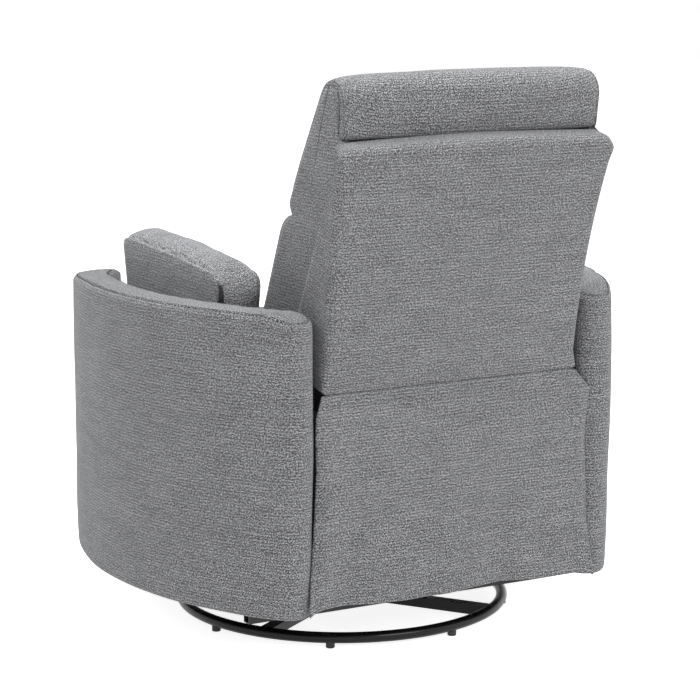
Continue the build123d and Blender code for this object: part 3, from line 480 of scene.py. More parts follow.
def arm_profile():
    """Step outwards and height, from the underside's mid line to the top's mid line, and the seam's place.

    The side bellies out by belly * sin(pi * share of the height) ** 0.7, and quarter circles round it
    into the underside and the top.
    """
    turn = np.linspace(-np.pi / 2, 0, 7)
    low = stack(ARM_HALF + ARM_LOW_ROUND * (np.cos(turn) - 1), ARM_LOW + ARM_LOW_ROUND * (np.sin(turn) + 1))
    shoulder = ARM_TOP - ARM_TOP_ROUND
    side = np.linspace(ARM_LOW + ARM_LOW_ROUND, shoulder, 76)[1:-1]
    belly = ARM_BELLY * np.sin(np.pi * (side - ARM_LOW) / (shoulder - ARM_LOW)) ** 0.7
    turn = np.linspace(0, np.pi / 2, 26)
    over = stack(ARM_HALF - ARM_TOP_ROUND * (1 - np.cos(turn)), shoulder + ARM_TOP_ROUND * np.sin(turn))
    inward = np.linspace(ARM_HALF - ARM_TOP_ROUND, 0, 9)[1:]
    top = stack(inward, ARM_TOP + ARM_CROWN * (1 - (inward / (ARM_HALF - ARM_TOP_ROUND)) ** 2))
    line = np.concatenate([[[0, ARM_LOW]], low, stack(ARM_HALF + belly, side), over, top])
    walked = lengths(line)
    seam = walked[len(low) + len(side) + 1] + ARM_TOP_ROUND * ARM_SEAM_TURN
    return line, walked, seam


print("arm from", round(ARM_LOW, 3), "to", round(ARM_TOP, 3), "m high")

# %% [markdown]
# Carried round the plan, the profile gets what a real arm has: a seam groove of uneven depth with
# small puckers beside it, hollows in the padding, a top that lies lower towards the front, and
# ends over which the padding rounds off.

# %% Arm surface
END_DROP_REAR, END_DROP_FRONT, END_ROUND_REAR, END_ROUND_FRONT = 0.012, 0.026, 0.028, 0.052
ARM_SINK, ARM_FRONT_DROP = 0.004, 0.018
ARM_REAR_LEAN = 0.008
ARM_SEAM_DEPTH, ARM_SEAM_WIDTH = 0.0030, 0.0021
PUCKER, PUCKER_REACH, HOLLOW = 0.0009, 0.016, 0.0012


def seam_dip(distance, depth, width):
    """Groove of a sewn seam: depth * exp(-(distance / width) ** 2)."""
    return depth * np.exp(-(distance / width) ** 2)


def arm_grid(side):
    """The profile carried round the plan, as points, cloth and the seam's column.

    A point is mid line + step * outward at the profile's height, moved along the profile's normal by
    puckers * exp(-(distance / reach) ** 2), less the seam's groove, plus hollows. The top sinks
    by a smooth step towards the front, and each end by drop * exp(-(distance / round) ** 2).
    """
    mids, out, walked = arm_plan()
    profile, climbed, seam = arm_profile()
    shape = (len(walked), len(profile))
    beside = climbed[None, :] - seam
    groove = 0.7 + 0.5 * smooth_noise(shape, (120, 1), 13)
    near_seam = np.exp(-(beside / PUCKER_REACH) ** 2)
    dip = seam_dip(beside, ARM_SEAM_DEPTH, ARM_SEAM_WIDTH)
    proud = (smooth_noise(shape, (150, 5), 11) * PUCKER * near_seam - dip * groove
             + smooth_noise(shape, (22, 7), 12) * HOLLOW * (profile[None, :, 0] > 0.03))
    run = np.gradient(profile, climbed, axis=0)
    step = profile[None, :, 0] + run[None, :, 1] * proud
    height = profile[None, :, 1] - run[None, :, 0] * proud
    x = side * (mids[:, None, 0] + out[:, None, 0] * step)
    y = mids[:, None, 1] + out[:, None, 1] * step
    y = y + ARM_REAR_LEAN * np.clip((height - ARM_LOW) / 0.40, 0, 1) * np.clip((y - 0.24) / 0.12, 0, 1)
    high = np.clip((height - 0.50) / (ARM_TOP - 0.50), 0, 1) ** 2
    from_end = ARM_END_Y - np.abs(y - ARM_CENTRE_Y)
    forward = np.clip((-0.12 - y) / 0.26, 0, 1)
    slope = ARM_SINK + ARM_FRONT_DROP * forward ** 2 * (3 - 2 * forward)
    end_drop = np.where(y > 0, END_DROP_REAR, END_DROP_FRONT)
    end_drop = end_drop * np.exp(-(from_end / np.where(y > 0, END_ROUND_REAR, END_ROUND_FRONT)) ** 2)
    height = height - (slope + end_drop) * high
    seam_column = int(np.argmin(np.abs(climbed - seam)))
    return stack(x, y, height), stack(walked[:, None], climbed[None, :]), seam_column


# %% [markdown]
# The thread shows as a row of short dark stitches in the seam. Their dark tone is partly the
# thread's own colour and partly painted shade in the seam. Each stitch is a spindle of 24 faces,
# which is enough for something one and a half millimetres thick.

# %% Stitches
STITCH_LENGTH, STITCH_PITCH, STITCH_RADIUS = 0.0058, 0.0076, 0.0013
STITCH_COLUMNS = 3
# The thread is made dark: partly the thread's own colour and partly painted shade in the seam's groove.
thread_with_painted_seam_shade = upholstery("thread_with_painted_seam_shade", tone=0.20, sheen=0.0)


def stitches(name, patch, cover):
    """A row of stitches along the middle column of a patch of points, as small six-sided spindles.

    A spindle's ring at s from -1 to 1 lies s * length / 2 along the path and has the radius
    r * sqrt(1 - s ** 2), so both its ends are closed.
    """
    path = patch[:, patch.shape[1] // 2]
    across = patch[:, -1] - patch[:, 0]
    walked = lengths(path)
    places = np.arange(STITCH_PITCH / 2, walked[-1], STITCH_PITCH)

    def at(values, where):
        """Values at places along the path, each coordinate interpolated between its points."""
        return np.stack([np.interp(where, walked, values[:, axis]) for axis in range(3)], axis=-1)

    def unit(vectors):
        """Vectors divided by their lengths."""
        return vectors / np.linalg.norm(vectors, axis=-1)[..., None]

    middle = at(path, places)
    along = unit(at(path, places + 0.001) - at(path, places - 0.001))
    side = unit(at(across, places))
    up = unit(np.cross(along, side))
    s = np.linspace(-1, 1, 5)
    turn = np.linspace(0, 2 * np.pi, 7)
    ring = STITCH_RADIUS * np.sqrt(1 - s ** 2)
    reach = (s * STITCH_LENGTH / 2)[None, :, None]
    sideways = (np.cos(turn)[:, None] * ring)[..., None]
    upwards = (np.sin(turn)[:, None] * ring)[..., None]
    grids = []
    for m, a, b, c in zip(middle, along, side, up):
        spindle = m + reach * a + sideways * b + upwards * c
        grids.append((spindle, spindle[..., :2]))
    return piece(name, grids, cover)


# %% [markdown]
# Both arms come from the same functions: side is 1 for the left arm and -1 for its mirror image.

# %% Both arms
for side_name, side in (("left", 1), ("right", -1)):
    arm_points, arm_cloth, seam_column = arm_grid(side)
    beside_seam = arm_points[:, seam_column - STITCH_COLUMNS:seam_column]
    row = stitches(f"{side_name}_arm_stitches", beside_seam, thread_with_painted_seam_shade)
    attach(row, "frame")
    arm = piece(f"{side_name}_arm_padding", [(arm_points, arm_cloth)], tweed)
    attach(arm, "frame")
    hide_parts(f"{side_name}_arm")

# %% [markdown]
# ## Boxed cushions
# The seat, the back cushions, the footrest and the arm pillows are all boxed: a band runs round
# the cushion and a panel closes each side, with a seam between them. The band is a row of
# outlines whose corners swell towards the middle. Each side panel shrinks from the outline to
# its centre and bulges outwards, so band and panel meet at a pinched edge.

# %% Boxed cushion
BAND_STEPS, PANEL_STEPS = 64, 14
SEAM_INSET, SEAM_DEPTH, SEAM_WIDTH = 0.0035, 0.0030, 0.0022


def boxed(ends, corners, radii, count, bulge, seed, crown_power=2.8, wrinkle=0.0012, pinch=1.0):
    """Grids of a boxed cushion between x = ends[0] and x = ends[1].

    Each corner is (y, z, dy, dz): at x the outline's corners are (y, z) + crown * (dy, dz), with
    crown = (1 - |t| ** power) ** 0.7 and t from -1 to 1 across the cushion. A side panel's point is the
    end outline scaled by k about its centre, pushed out by bulge * sqrt(1 - k ** 2). The corners' radii
    shrink to pinch of their size at the seams.
    """
    table = np.asarray(corners, float)
    t = np.sin(np.linspace(-np.pi / 2, np.pi / 2, BAND_STEPS))
    crown = np.clip(1 - np.abs(t) ** crown_power, 0, 1) ** 0.7
    x = (ends[0] + ends[1]) / 2 + t * (ends[1] - ends[0]) / 2
    radii = np.asarray(radii)
    outlines = [rounded(table[:, :2] + c * table[:, 2:], radii * (pinch + (1 - pinch) * c), count)
                for c in crown]
    lines = np.stack([line for line, _ in outlines], axis=1)
    along = np.stack([even for _, even in outlines], axis=1)
    normals = np.stack([outward(line) for line, _ in outlines], axis=1)
    from_seam = np.minimum(np.abs(x - ends[0]), np.abs(x - ends[1])) - SEAM_INSET
    dip = seam_dip(from_seam, SEAM_DEPTH, SEAM_WIDTH)
    waves = smooth_noise(lines.shape[:2], (max(count // 6, 4), 9), seed) * wrinkle * crown
    lines = lines + normals * (waves - dip)[..., None]
    grids = [(stack(x[None, :], lines[..., 0], lines[..., 1]), stack(x[None, :], along))]
    for end, column, sign in ((0, 0, -1), (1, -1, 1)):
        rim, centre = lines[:, column], lines[:-1, column].mean(0)
        k = np.linspace(1, 0, PANEL_STEPS) ** 0.8
        flat = centre + (rim[:, None] - centre) * k[None, :, None]
        ripple = wrinkle * np.sin(flat[..., 0] * 52 + seed) * np.sin(flat[..., 1] * 44 + 2 * seed + end)
        out = (bulge + ripple) * np.sqrt(np.clip(1 - k ** 2, 0, 1))
        panel = stack(ends[end] + sign * out, flat[..., 0], flat[..., 1])
        grids.append((panel[:, ::sign], flat[:, ::sign]))
    return grids


print("a boxed cushion has", BAND_STEPS, "columns in its band and", PANEL_STEPS, "rings in each panel")

# %% [markdown]
# ## Filling the cushions
# A cushion's cover is cut flatter than it looks when filled. So a coarse copy of each cushion is
# simulated as cloth with air pressed into it, without gravity. How far it swells is then carried
# over to the fine mesh, only as far as the filling would push it and only where nothing lies
# against it.

# %% Filling
VOXEL, PRESSURE, CLOTH_QUALITY, LAST_FRAME = 0.011, 4.0, 4, 20
NEIGHBOURS, NEAREST, CHUNK = 6, 0.002, 400


def coordinates(mesh):
    """A mesh's points as an array of (x, y, z)."""
    points = np.empty(len(mesh.vertices) * 3, np.float32)
    mesh.vertices.foreach_get("co", points)
    return points.reshape(-1, 3).astype(float)


def puff(obj, cap, free):
    """Simulates the filling of a cushion and moves its points by at most cap, times free(points).

    A point moves by the mean displacement of its nearest coarse points, weighted by
    1 / (distance + 2 mm). The whole displacement is scaled so that its largest is the cap.
    """
    scene = bpy.context.scene
    coarse = bpy.data.objects.new("coarse", obj.data.copy())
    scene.collection.objects.link(coarse)
    remesh = coarse.modifiers.new("voxels", "REMESH")
    remesh.mode = "VOXEL"
    remesh.voxel_size = VOXEL
    remeshed = coarse.evaluated_get(bpy.context.evaluated_depsgraph_get())
    coarse.data = bpy.data.meshes.new_from_object(remeshed)
    coarse.modifiers.clear()
    before = coordinates(coarse.data)
    cloth = coarse.modifiers.new("cover", "CLOTH")
    cloth.settings.quality = CLOTH_QUALITY
    cloth.settings.use_pressure = True
    cloth.settings.uniform_pressure_force = PRESSURE
    cloth.settings.effector_weights.gravity = 0.0
    cloth.point_cache.frame_start = 1
    cloth.point_cache.frame_end = LAST_FRAME
    for moment in range(1, LAST_FRAME + 1):
        scene.frame_set(moment)
    swollen = coarse.evaluated_get(bpy.context.evaluated_depsgraph_get())
    moved = coordinates(swollen.data) - before
    scene.frame_set(1)
    mesh = coarse.data
    bpy.data.objects.remove(coarse)
    bpy.data.meshes.remove(mesh)
    points = coordinates(obj.data)
    shift = np.empty_like(points)
    for start in range(0, len(points), CHUNK):
        away = np.linalg.norm(points[start:start + CHUNK, None] - before[None], axis=2)
        near = np.argpartition(away, NEIGHBOURS, axis=1)[:, :NEIGHBOURS]
        weight = 1 / (np.take_along_axis(away, near, 1) + NEAREST)
        shift[start:start + CHUNK] = (moved[near] * weight[..., None]).sum(1) / weight.sum(1)[:, None]
    length = np.linalg.norm(shift, axis=1)[:, None]
    shift *= np.minimum(1, cap / np.maximum(length.max(), 1e-6)) * free(points)[:, None]
    obj.data.vertices.foreach_set("co", (points + shift).astype(np.float32).ravel())
    obj.data.update()
    most = np.linalg.norm(shift, axis=1).max() * 1000
    print(f"{obj.name}: swollen by up to {most:.1f} mm, {len(before)} coarse points")


def ease(value, low, high):
    """0 below low, 1 above high, and a smooth step between."""
    share = np.clip((value - low) / (high - low), 0, 1)
    return share ** 2 * (3 - 2 * share)


# %% [markdown]
# ## Where the back is
# The rear panel leans. A point of the back is given by how far up the panel it lies and how far
# forward of it, as on the pattern maker's drawing.

# %% Places on the back
SEAM_Y, SEAM_Z = 0.390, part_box("back_outer_panel")[0].z
LEAN = math.radians(11.76)
PANEL_HEIGHT, PANEL_DEPTH = 0.428, 0.045
SOFT_GAP = 0.0003


def back_point(up, forward):
    """(y, z) at a height up the rear panel and a depth forward of its rear face."""
    return (SEAM_Y + up * math.sin(LEAN) - forward * math.cos(LEAN),
            SEAM_Z + up * math.cos(LEAN) + forward * math.sin(LEAN))


def back_corner(up, forward, dy=0.0, dz=0.0):
    """A boxed cushion's corner on the back, with the swell (dy, dz) it has in the cushion's middle."""
    return (*back_point(up, forward), dy, dz)


print("top of the rear panel:", [round(v, 3) for v in back_point(PANEL_HEIGHT, 0)])

# %% [markdown]
# ## Back cushions
# Two cushions make the back's front: a tall one for the back and a head cushion that goes over
# the top of the frame and hangs behind it. A deep channel parts them. Both widen a little upwards.

# %% Back cushions
CUSHION_DEPTH = PANEL_DEPTH + SOFT_GAP
BACK_HALF, HEAD_HALF, BACK_FLARE = 0.2405, 0.2422, 0.022
BACK_COUNT, BACK_BULGE, BACK_SWELL = 170, 0.001, 0.009
CHANNEL_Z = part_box("back_cushion_upper")[0].z
channel_up = (CHANNEL_Z - SEAM_Z - CUSHION_DEPTH * math.sin(LEAN)) / math.cos(LEAN)
channel_rear = back_point(channel_up, CUSHION_DEPTH)
lower_corners = [
    back_corner(-0.048, 0.278, -0.020, 0), back_corner(-0.024, CUSHION_DEPTH),
    (channel_rear[0], channel_rear[1] - SOFT_GAP, 0, 0),
    back_corner(channel_up - 0.053, 0.209, -0.018, 0.002), back_corner(0.090, 0.246, -0.034, 0.004)]
lower_radii = [0.020, 0.006, 0.006, 0.060, 0.300]
head_corners = [
    back_corner(channel_up - 0.044, 0.198, -0.022, 0), (*channel_rear, 0, 0),
    back_corner(PANEL_HEIGHT + SOFT_GAP, CUSHION_DEPTH), back_corner(PANEL_HEIGHT + SOFT_GAP, 0.029),
    back_corner(PANEL_HEIGHT + 0.110, 0.038, 0.002, 0.004),
    back_corner(PANEL_HEIGHT + 0.080, 0.107, -0.014, 0.010),
    back_corner(PANEL_HEIGHT - 0.068, 0.163, -0.032, 0.006)]
head_radii = [0.030, 0.003, 0.003, 0.010, 0.038, 0.050, 0.400]


def flared(grids):
    """Widens grids towards the top of the back, as the outer back widens: x * (1 + flare * height share)."""
    wider = []
    for points, cloth in grids:
        share = np.clip((points[..., 2] - SEAM_Z) / PANEL_HEIGHT, 0, 1.15)
        wider.append((points * stack(1 + BACK_FLARE * share, 1, 1), cloth))
    return wider


def in_front(points):
    """1 at the front of the back cushions, 0 where they lie on the panel, in the channel or on the seat."""
    forward = (SEAM_Y - points[:, 1]) * math.cos(LEAN) + (points[:, 2] - SEAM_Z) * math.sin(LEAN)
    side = 1 - ease(np.abs(points[:, 0]), 0.215, 0.238)
    return ease(forward, 0.10, 0.16) * ease(points[:, 2], 0.52, 0.60) * side


lower_grids = boxed((-BACK_HALF, BACK_HALF), lower_corners, lower_radii, BACK_COUNT, BACK_BULGE, 21)
head_grids = boxed((-HEAD_HALF, HEAD_HALF), head_corners, head_radii, BACK_COUNT, BACK_BULGE, 22,
                   crown_power=5.0)
lower_back = piece("lower_back_cushion", flared(lower_grids), tweed)
upper_back = piece("head_cushion", flared(head_grids), tweed)
for cushion, node in ((lower_back, "back_cushion_lower"), (upper_back, "back_cushion_upper")):
    puff(cushion, BACK_SWELL, in_front)
    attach(cushion, "back")
    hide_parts(node)

# %% [markdown]
# One side panel covers both cushions on each side, as it would be cut from one piece of cloth. Only
# a short notch at its front shows where the head cushion ends.

# %% Back side panels
GUSSET_INNER, GUSSET_OUTER = 0.2330, 0.2436
GUSSET_COUNT, GUSSET_BULGE, GUSSET_WRINKLE = 220, 0.0035, 0.0010
gusset_corners = [
    back_corner(-0.030, 0.120), back_corner(PANEL_HEIGHT - 0.034, -0.002),
    back_corner(PANEL_HEIGHT - 0.010, -0.002), back_corner(PANEL_HEIGHT + 0.006, 0.044),
    back_corner(PANEL_HEIGHT + 0.100, 0.052), back_corner(PANEL_HEIGHT + 0.072, 0.102),
    back_corner(PANEL_HEIGHT - 0.068, 0.158), back_corner(channel_up - 0.030, 0.190),
    back_corner(channel_up - 0.038, 0.163), back_corner(channel_up - 0.062, 0.200),
    back_corner(0.090, 0.240), back_corner(-0.040, 0.266)]
gusset_radii = [0.004, 0.006, 0.006, 0.010, 0.030, 0.048, 0.350, 0.012, 0.004, 0.052, 0.300, 0.018]
for side_name, side in (("left", 1), ("right", -1)):
    gusset_grids = boxed(sorted((side * GUSSET_INNER, side * GUSSET_OUTER)), gusset_corners, gusset_radii,
                         GUSSET_COUNT, GUSSET_BULGE, 27, wrinkle=GUSSET_WRINKLE)
    gusset = piece(f"{side_name}_back_side", flared(gusset_grids), tweed)
    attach(gusset, "back")

# %% [markdown]
# ## Seat and footrest
# The seat cushion is boxed too, with a full nose at the front and its highest crown half way. It
# swells only on top: its sides lie against the arms and its rear under the back.

# %% Seat cushion
SEAT_HALF, SEAT_LOW, SEAT_SWELL = 0.249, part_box("seat_cushion")[0].z, 0.010
seat_corners = [
    (0.118, SEAT_LOW, 0, 0), (-0.446, SEAT_LOW, -0.006, 0), (-0.452, SEAT_LOW + 0.066, -0.010, 0),
    (-0.446, SEAT_LOW + 0.132, -0.006, 0.010), (-0.167, SEAT_LOW + 0.135, 0, 0.016),
    (0.114, SEAT_LOW + 0.124, 0, 0.002)]
seat_radii = [0.006, 0.022, 0.150, 0.040, 0.900, 0.016]


def on_seat(points):
    """1 on top of the seat, 0 at its underside, at its sides and under the back."""
    top = ease(points[:, 2], SEAT_LOW + 0.06, SEAT_LOW + 0.12)
    return top * (1 - ease(points[:, 1], 0.02, 0.10)) * (1 - ease(np.abs(points[:, 0]), 0.225, 0.245))


seat = piece("seat_pad", boxed((-SEAT_HALF, SEAT_HALF), seat_corners, seat_radii, 190, 0.0005, 23), tweed)
puff(seat, SEAT_SWELL, on_seat)
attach(seat, "seat")
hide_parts("seat_cushion")

# %% [markdown]
# The footrest pad is a thin boxed pad stapled to its board. At rest it hangs below the seat's
# nose, so its front is the side that swells.

# %% Footrest pad
FOOT_HALF, FOOT_REAR, FOOT_FACE, FOOT_SWELL = 0.247, -0.4123, -0.476, 0.006
FOOT_LOW, FOOT_TOP = 0.122, 0.350
foot_corners = [
    (FOOT_REAR, FOOT_LOW, 0, 0), (FOOT_REAR, FOOT_TOP - 0.002, 0, 0),
    (FOOT_FACE + 0.016, FOOT_TOP - 0.004, -0.008, 0.002),
    (FOOT_FACE + 0.010, (FOOT_TOP + FOOT_LOW) / 2, -0.010, 0),
    (FOOT_FACE + 0.016, FOOT_LOW + 0.002, -0.008, -0.002)]
foot_radii = [0.003, 0.003, 0.020, 0.300, 0.020]
foot = piece("footrest_padding", boxed((-FOOT_HALF, FOOT_HALF), foot_corners, foot_radii, 110, 0.002, 24),
             tweed)
puff(foot, FOOT_SWELL, lambda points: ease(-points[:, 1], 0.44, 0.47))
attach(foot, "footrest")
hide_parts("footrest_pad")

# %% [markdown]
# ## Arm pillows
# The pillow on each ledge is a boxed cushion on its side: its two large panels face the sitter
# and the arm, and the band between them runs over the top and down both ends. It stands on the
# ledge, which is raked down towards the rear.

# %% Arm pillows
DECK_LEVEL, DECK_LEVEL_Y, DECK_RAKE = 0.478, -0.250, math.radians(4.7)
PILLOW_NEAR, PILLOW_FAR, PILLOW_MIDDLE = 0.255, 0.336, 0.295
PILLOW_SWELL, PILLOW_END, PILLOW_FILL = 0.026, 0.012, 0.004
PILLOW_TOP_FRONT, PILLOW_TOP_REAR = 0.684, 0.661
PILLOW_FRONT_TOP, PILLOW_FRONT_LOW, PILLOW_REAR_TOP, PILLOW_REAR_LOW = -0.226, -0.186, 0.174, 0.140


def deck_top(y):
    """Height of the raked ledge inside an arm: level - (y - level y) * tan(rake)."""
    return DECK_LEVEL - (y - DECK_LEVEL_Y) * math.tan(DECK_RAKE)


def on_pillow(points, side):
    """1 on the upper front of a pillow, 0 on the ledge, at the rear end and at both panels' seams."""
    low, rear = ease(points[:, 2], 0.50, 0.56), 1 - ease(points[:, 1], 0.10, 0.15)
    return low * rear * (1 - ease(np.abs(points[:, 0] - side * PILLOW_MIDDLE), 0.036, 0.040))


pillow_corners = [
    (PILLOW_FRONT_LOW, deck_top(PILLOW_FRONT_LOW) + SOFT_GAP, -PILLOW_END, PILLOW_END * math.tan(DECK_RAKE)),
    (PILLOW_REAR_LOW, deck_top(PILLOW_REAR_LOW) + SOFT_GAP, PILLOW_END, -PILLOW_END * math.tan(DECK_RAKE)),
    (PILLOW_REAR_TOP, PILLOW_TOP_REAR, PILLOW_END * 0.3, PILLOW_SWELL * 0.8),
    (-0.020, (PILLOW_TOP_FRONT + PILLOW_TOP_REAR) / 2 + 0.002, 0, PILLOW_SWELL),
    (PILLOW_FRONT_TOP, PILLOW_TOP_FRONT, -PILLOW_END * 0.6, PILLOW_SWELL * 0.8)]
pillow_radii = [0.010, 0.010, 0.084, 0.900, 0.045]
print("ledge under a pillow's front:", round(deck_top(PILLOW_FRONT_LOW), 3), "m high")

# %% [markdown]
# A dark strip is laid on the rear end of each pillow, next to the arm's panel: painted shade for
# the shadow in the fold of the seam there. It lies on the band, so its points are a patch of the band's own
# grid.

# %% Pillows with their painted seam shade
# The strip is painted shade: a dark piece where the fold of the rear seam lies in shadow.
SHADE_STRIP_FROM_SEAM, SHADE_STRIP_WIDTH, SHADE_STRIP_HALF_THICKNESS = 0.001, 0.0101, 0.0007
SHADE_STRIP_FRONT, SHADE_STRIP_LOW, SHADE_STRIP_TOP = 0.10, 0.520, PILLOW_TOP_REAR - 0.006


def shade_strip_patch(band, side):
    """The rows of a band between the painted shade strip's ends and its columns within the strip's width of
    the seam.
    """
    across = PILLOW_FAR - side * band[0, :, 0]
    columns = np.flatnonzero((across > SHADE_STRIP_FROM_SEAM) & (across < SHADE_STRIP_FROM_SEAM + SHADE_STRIP_WIDTH))
    y, z = band[:, 0, 1], band[:, 0, 2]
    rows = np.flatnonzero((y > SHADE_STRIP_FRONT) & (z > SHADE_STRIP_LOW) & (z < SHADE_STRIP_TOP))
    return band[rows[0]:rows[-1] + 1, columns[0]:columns[-1] + 1]


for side_name, side in (("left", 1), ("right", -1)):
    grids = boxed(sorted((side * PILLOW_NEAR, side * PILLOW_FAR)), pillow_corners, pillow_radii, 300, 0.004,
                  31 + side, crown_power=2.2, wrinkle=0.0008, pinch=0.25)
    # The pillow gets the lighter cloth: painted light for the brighter light on its face.
    pillow = piece(f"{side_name}_pillow", grids, pillow_tweed_painted_light)
    puff(pillow, PILLOW_FILL, lambda points: on_pillow(points, side))
    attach(pillow, "frame")
    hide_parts(f"{side_name}_arm_pillow")
    patch = shade_strip_patch(grids[0][0], side)
    # A dark strip laid on the band: painted shade in the fold of the rear seam.
    painted_seam_shade_strip = piece(f"{side_name}_pillow_painted_seam_shade", slab(patch, SHADE_STRIP_HALF_THICKNESS), dark_cloth_and_painted_shade)
    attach(painted_seam_shade_strip, "frame")

# %% [markdown]
# ## Ledges
# The ledge under each pillow fills the space between the seat and the arm. Its outline from above
# is straight along the seat and follows the arm's inner arc on the other side. The right one is
# shorter in front, where the release lever stands.

# %% Ledges
DECK_INNER, DECK_CLEARANCE, DECK_CROWN = 0.250, 0.003, 0.003
DECK_HEIGHT, DECK_REACH = 0.18, 0.1
DECK_LOW, DECK_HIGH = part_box("left_side_deck")
RIGHT_DECK_FRONT = -0.228


def deck_grids(side, front, rear):
    """A padded ledge: an outline seen from above, carried up from the frame to the raked top.

    The outline's outer side is the arm's inner arc, x = centre + sqrt(r ** 2 - (y - y0) ** 2). Each
    ring is the outline scaled about its middle, at low + lift * (top - low).
    """
    arc_radius = ARM_RADIUS - ARM_HALF - 2 * SOFT_GAP - DECK_CLEARANCE
    y = np.linspace(front, rear, 44)
    outer_x = ARM_CENTRE_X + np.sqrt(arc_radius ** 2 - (y - ARM_CENTRE_Y) ** 2)
    line = np.concatenate([stack(outer_x, y), stack(DECK_INNER, y[::-1])])
    line = np.concatenate([line, line[:1]])
    middle = line[:-1].mean(0)
    lift = np.concatenate([np.zeros(6), np.linspace(0.004, 1, 22), np.ones(8)])
    scale = np.concatenate([np.linspace(0, 1, 7)[:-1], np.ones(20), [0.997, 0.985],
                            np.linspace(0.96, 0, 8)])
    flat = middle + (line[:, None] - middle) * scale[None, :, None]
    crown = np.where(lift >= 1, -DECK_CROWN + DECK_CROWN * np.sqrt(np.clip(1 - scale ** 2, 0, 1)), 0)
    z = DECK_LOW.z + (deck_top(flat[..., 1]) - DECK_LOW.z) * lift + crown
    steps = np.abs(np.diff(lift)) * DECK_HEIGHT + np.abs(np.diff(scale)) * DECK_REACH
    climbed = np.cumsum(np.concatenate([[0], steps]))
    return [(stack(side * flat[..., 0], flat[..., 1], z), stack(lengths(line)[:, None], climbed[None, :]))]


left_deck = piece("left_ledge", deck_grids(1, DECK_LOW.y, DECK_HIGH.y), tweed)
right_deck = piece("right_ledge", deck_grids(-1, RIGHT_DECK_FRONT, DECK_HIGH.y), tweed)
for deck, node in ((left_deck, "left_side_deck"), (right_deck, "right_side_deck")):
    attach(deck, "frame")
    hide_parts(node)

# %% [markdown]
# ## Outer back
# The back is closed behind by a thin padded shell: a slightly crowned face, rounded edges and
# walls that turn forward beside the cushions. It is made as rings of its own outline, from the
# middle of the rear face outwards, round the edge, forward, and back inside.

# %% Outer back
PANEL_WALL, PANEL_ROUND, PANEL_LIP = 0.010, 0.018, 0.0035
PANEL_BOTTOM, PANEL_TOP, PANEL_WAIST = 0.254, 0.272, 0.024
SIDE_SLOPE, SIDE_DEPTH_TOP, BOTTOM_DEPTH = 0.31, 0.012, 0.0126
PANEL_BEND, PANEL_HOLLOW, PANEL_CROWN, PANEL_RIPPLE = 0.0135, 0.025, 0.004, 0.0008


def panel_grid():
    """Rings of the panel's outline (x across, w up the panel), each with its own inset and depth forward.

    With t = w / height, the face is bent by bend * t ** 3 - hollow * t * (1 - t), and narrowed to a
    waist by 1 - 4 * waist * t * (1 - t), as a padded back is drawn in half way up. The side walls
    are wedges, whose depth is slope * (height - w) and at least the depth at the top.
    """
    corners = [(PANEL_BOTTOM, 0), (PANEL_TOP, PANEL_HEIGHT - 0.004), (0, PANEL_HEIGHT + 0.004),
               (-PANEL_TOP, PANEL_HEIGHT - 0.004), (-PANEL_BOTTOM, 0)]
    line, along = rounded(corners, [0.004, 0.030, 3.0, 0.030, 0.004], 260)
    normal = outward(line)
    centre = line[:-1].mean(0)
    face = np.linspace(0, 1, 34)[:-1]
    turn = np.linspace(0, np.pi / 2, 9)
    half = PANEL_BOTTOM + (PANEL_TOP - PANEL_BOTTOM) * line[:, 1] / PANEL_HEIGHT
    side_share = np.clip((np.abs(line[:, 0]) - half + 0.0095) / 0.007, 0, 1)
    top_share = np.clip((line[:, 1] - PANEL_HEIGHT + 0.03) / 0.02, 0, 1) * (1 - side_share)
    wedge = np.maximum(SIDE_DEPTH_TOP, SIDE_SLOPE * (PANEL_HEIGHT - line[:, 1]) + 0.006)
    full_depth = side_share * wedge + top_share * PANEL_DEPTH + (1 - side_share - top_share) * BOTTOM_DEPTH
    edge_round = np.minimum(PANEL_ROUND * np.clip(line[:, 1] / 0.03, 0.08, 1), 0.85 * full_depth)
    rows = []
    for k in face:
        flat = centre + (line - normal * edge_round[:, None] - centre) * k
        rows.append((flat, np.full(len(line), -PANEL_CROWN * (1 - k ** 4)), flat))
    for a in turn:
        flat = line - normal * (edge_round * (1 - np.sin(a)))[:, None]
        rows.append((flat, edge_round * (1 - np.cos(a)), line + normal * (edge_round * (a - 1.0))[:, None]))
    for forward in np.linspace(0.1, 1, 9):
        depth = edge_round + (full_depth - edge_round) * forward
        rows.append((line, depth, line + normal * depth[:, None]))
    rim = np.minimum(full_depth, PANEL_DEPTH)
    for inset, depth in ((0.0012, full_depth + 0.0010), (PANEL_LIP, full_depth), (PANEL_LIP + 0.0003, rim),
                         (PANEL_WALL, rim - 0.001), (PANEL_WALL, (rim + PANEL_WALL) / 2)):
        rows.append((line - normal * inset, depth, line + normal * 0.06))
    inner = line - normal * PANEL_WALL
    for k in np.linspace(1, 0, 8):
        flat = centre + (inner - centre) * k
        rows.append((flat, np.full(len(line), PANEL_WALL - 0.0005), flat))
    flat, depth, cloth = (np.stack(parts, axis=1) for parts in zip(*rows))
    across, up = flat[..., 0], flat[..., 1]
    ripple = np.sin(across * 40 + 1) * np.sin(up * 31 + 2) + 0.6 * np.sin(across * 15 + up * 75)
    depth[:, :len(face)] += PANEL_RIPPLE * ripple[:, :len(face)]
    share = np.clip(up / PANEL_HEIGHT, 0, 1)
    bend = PANEL_BEND * share ** 3 - PANEL_HOLLOW * share * (1 - share)
    y, z = back_point(up, depth)
    return [(stack(across * (1 - PANEL_WAIST * 4 * share * (1 - share)), y + bend, z), cloth)]


outer_back = piece("outer_back", panel_grid(), tweed)
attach(outer_back, "back")
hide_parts("back_outer_panel")
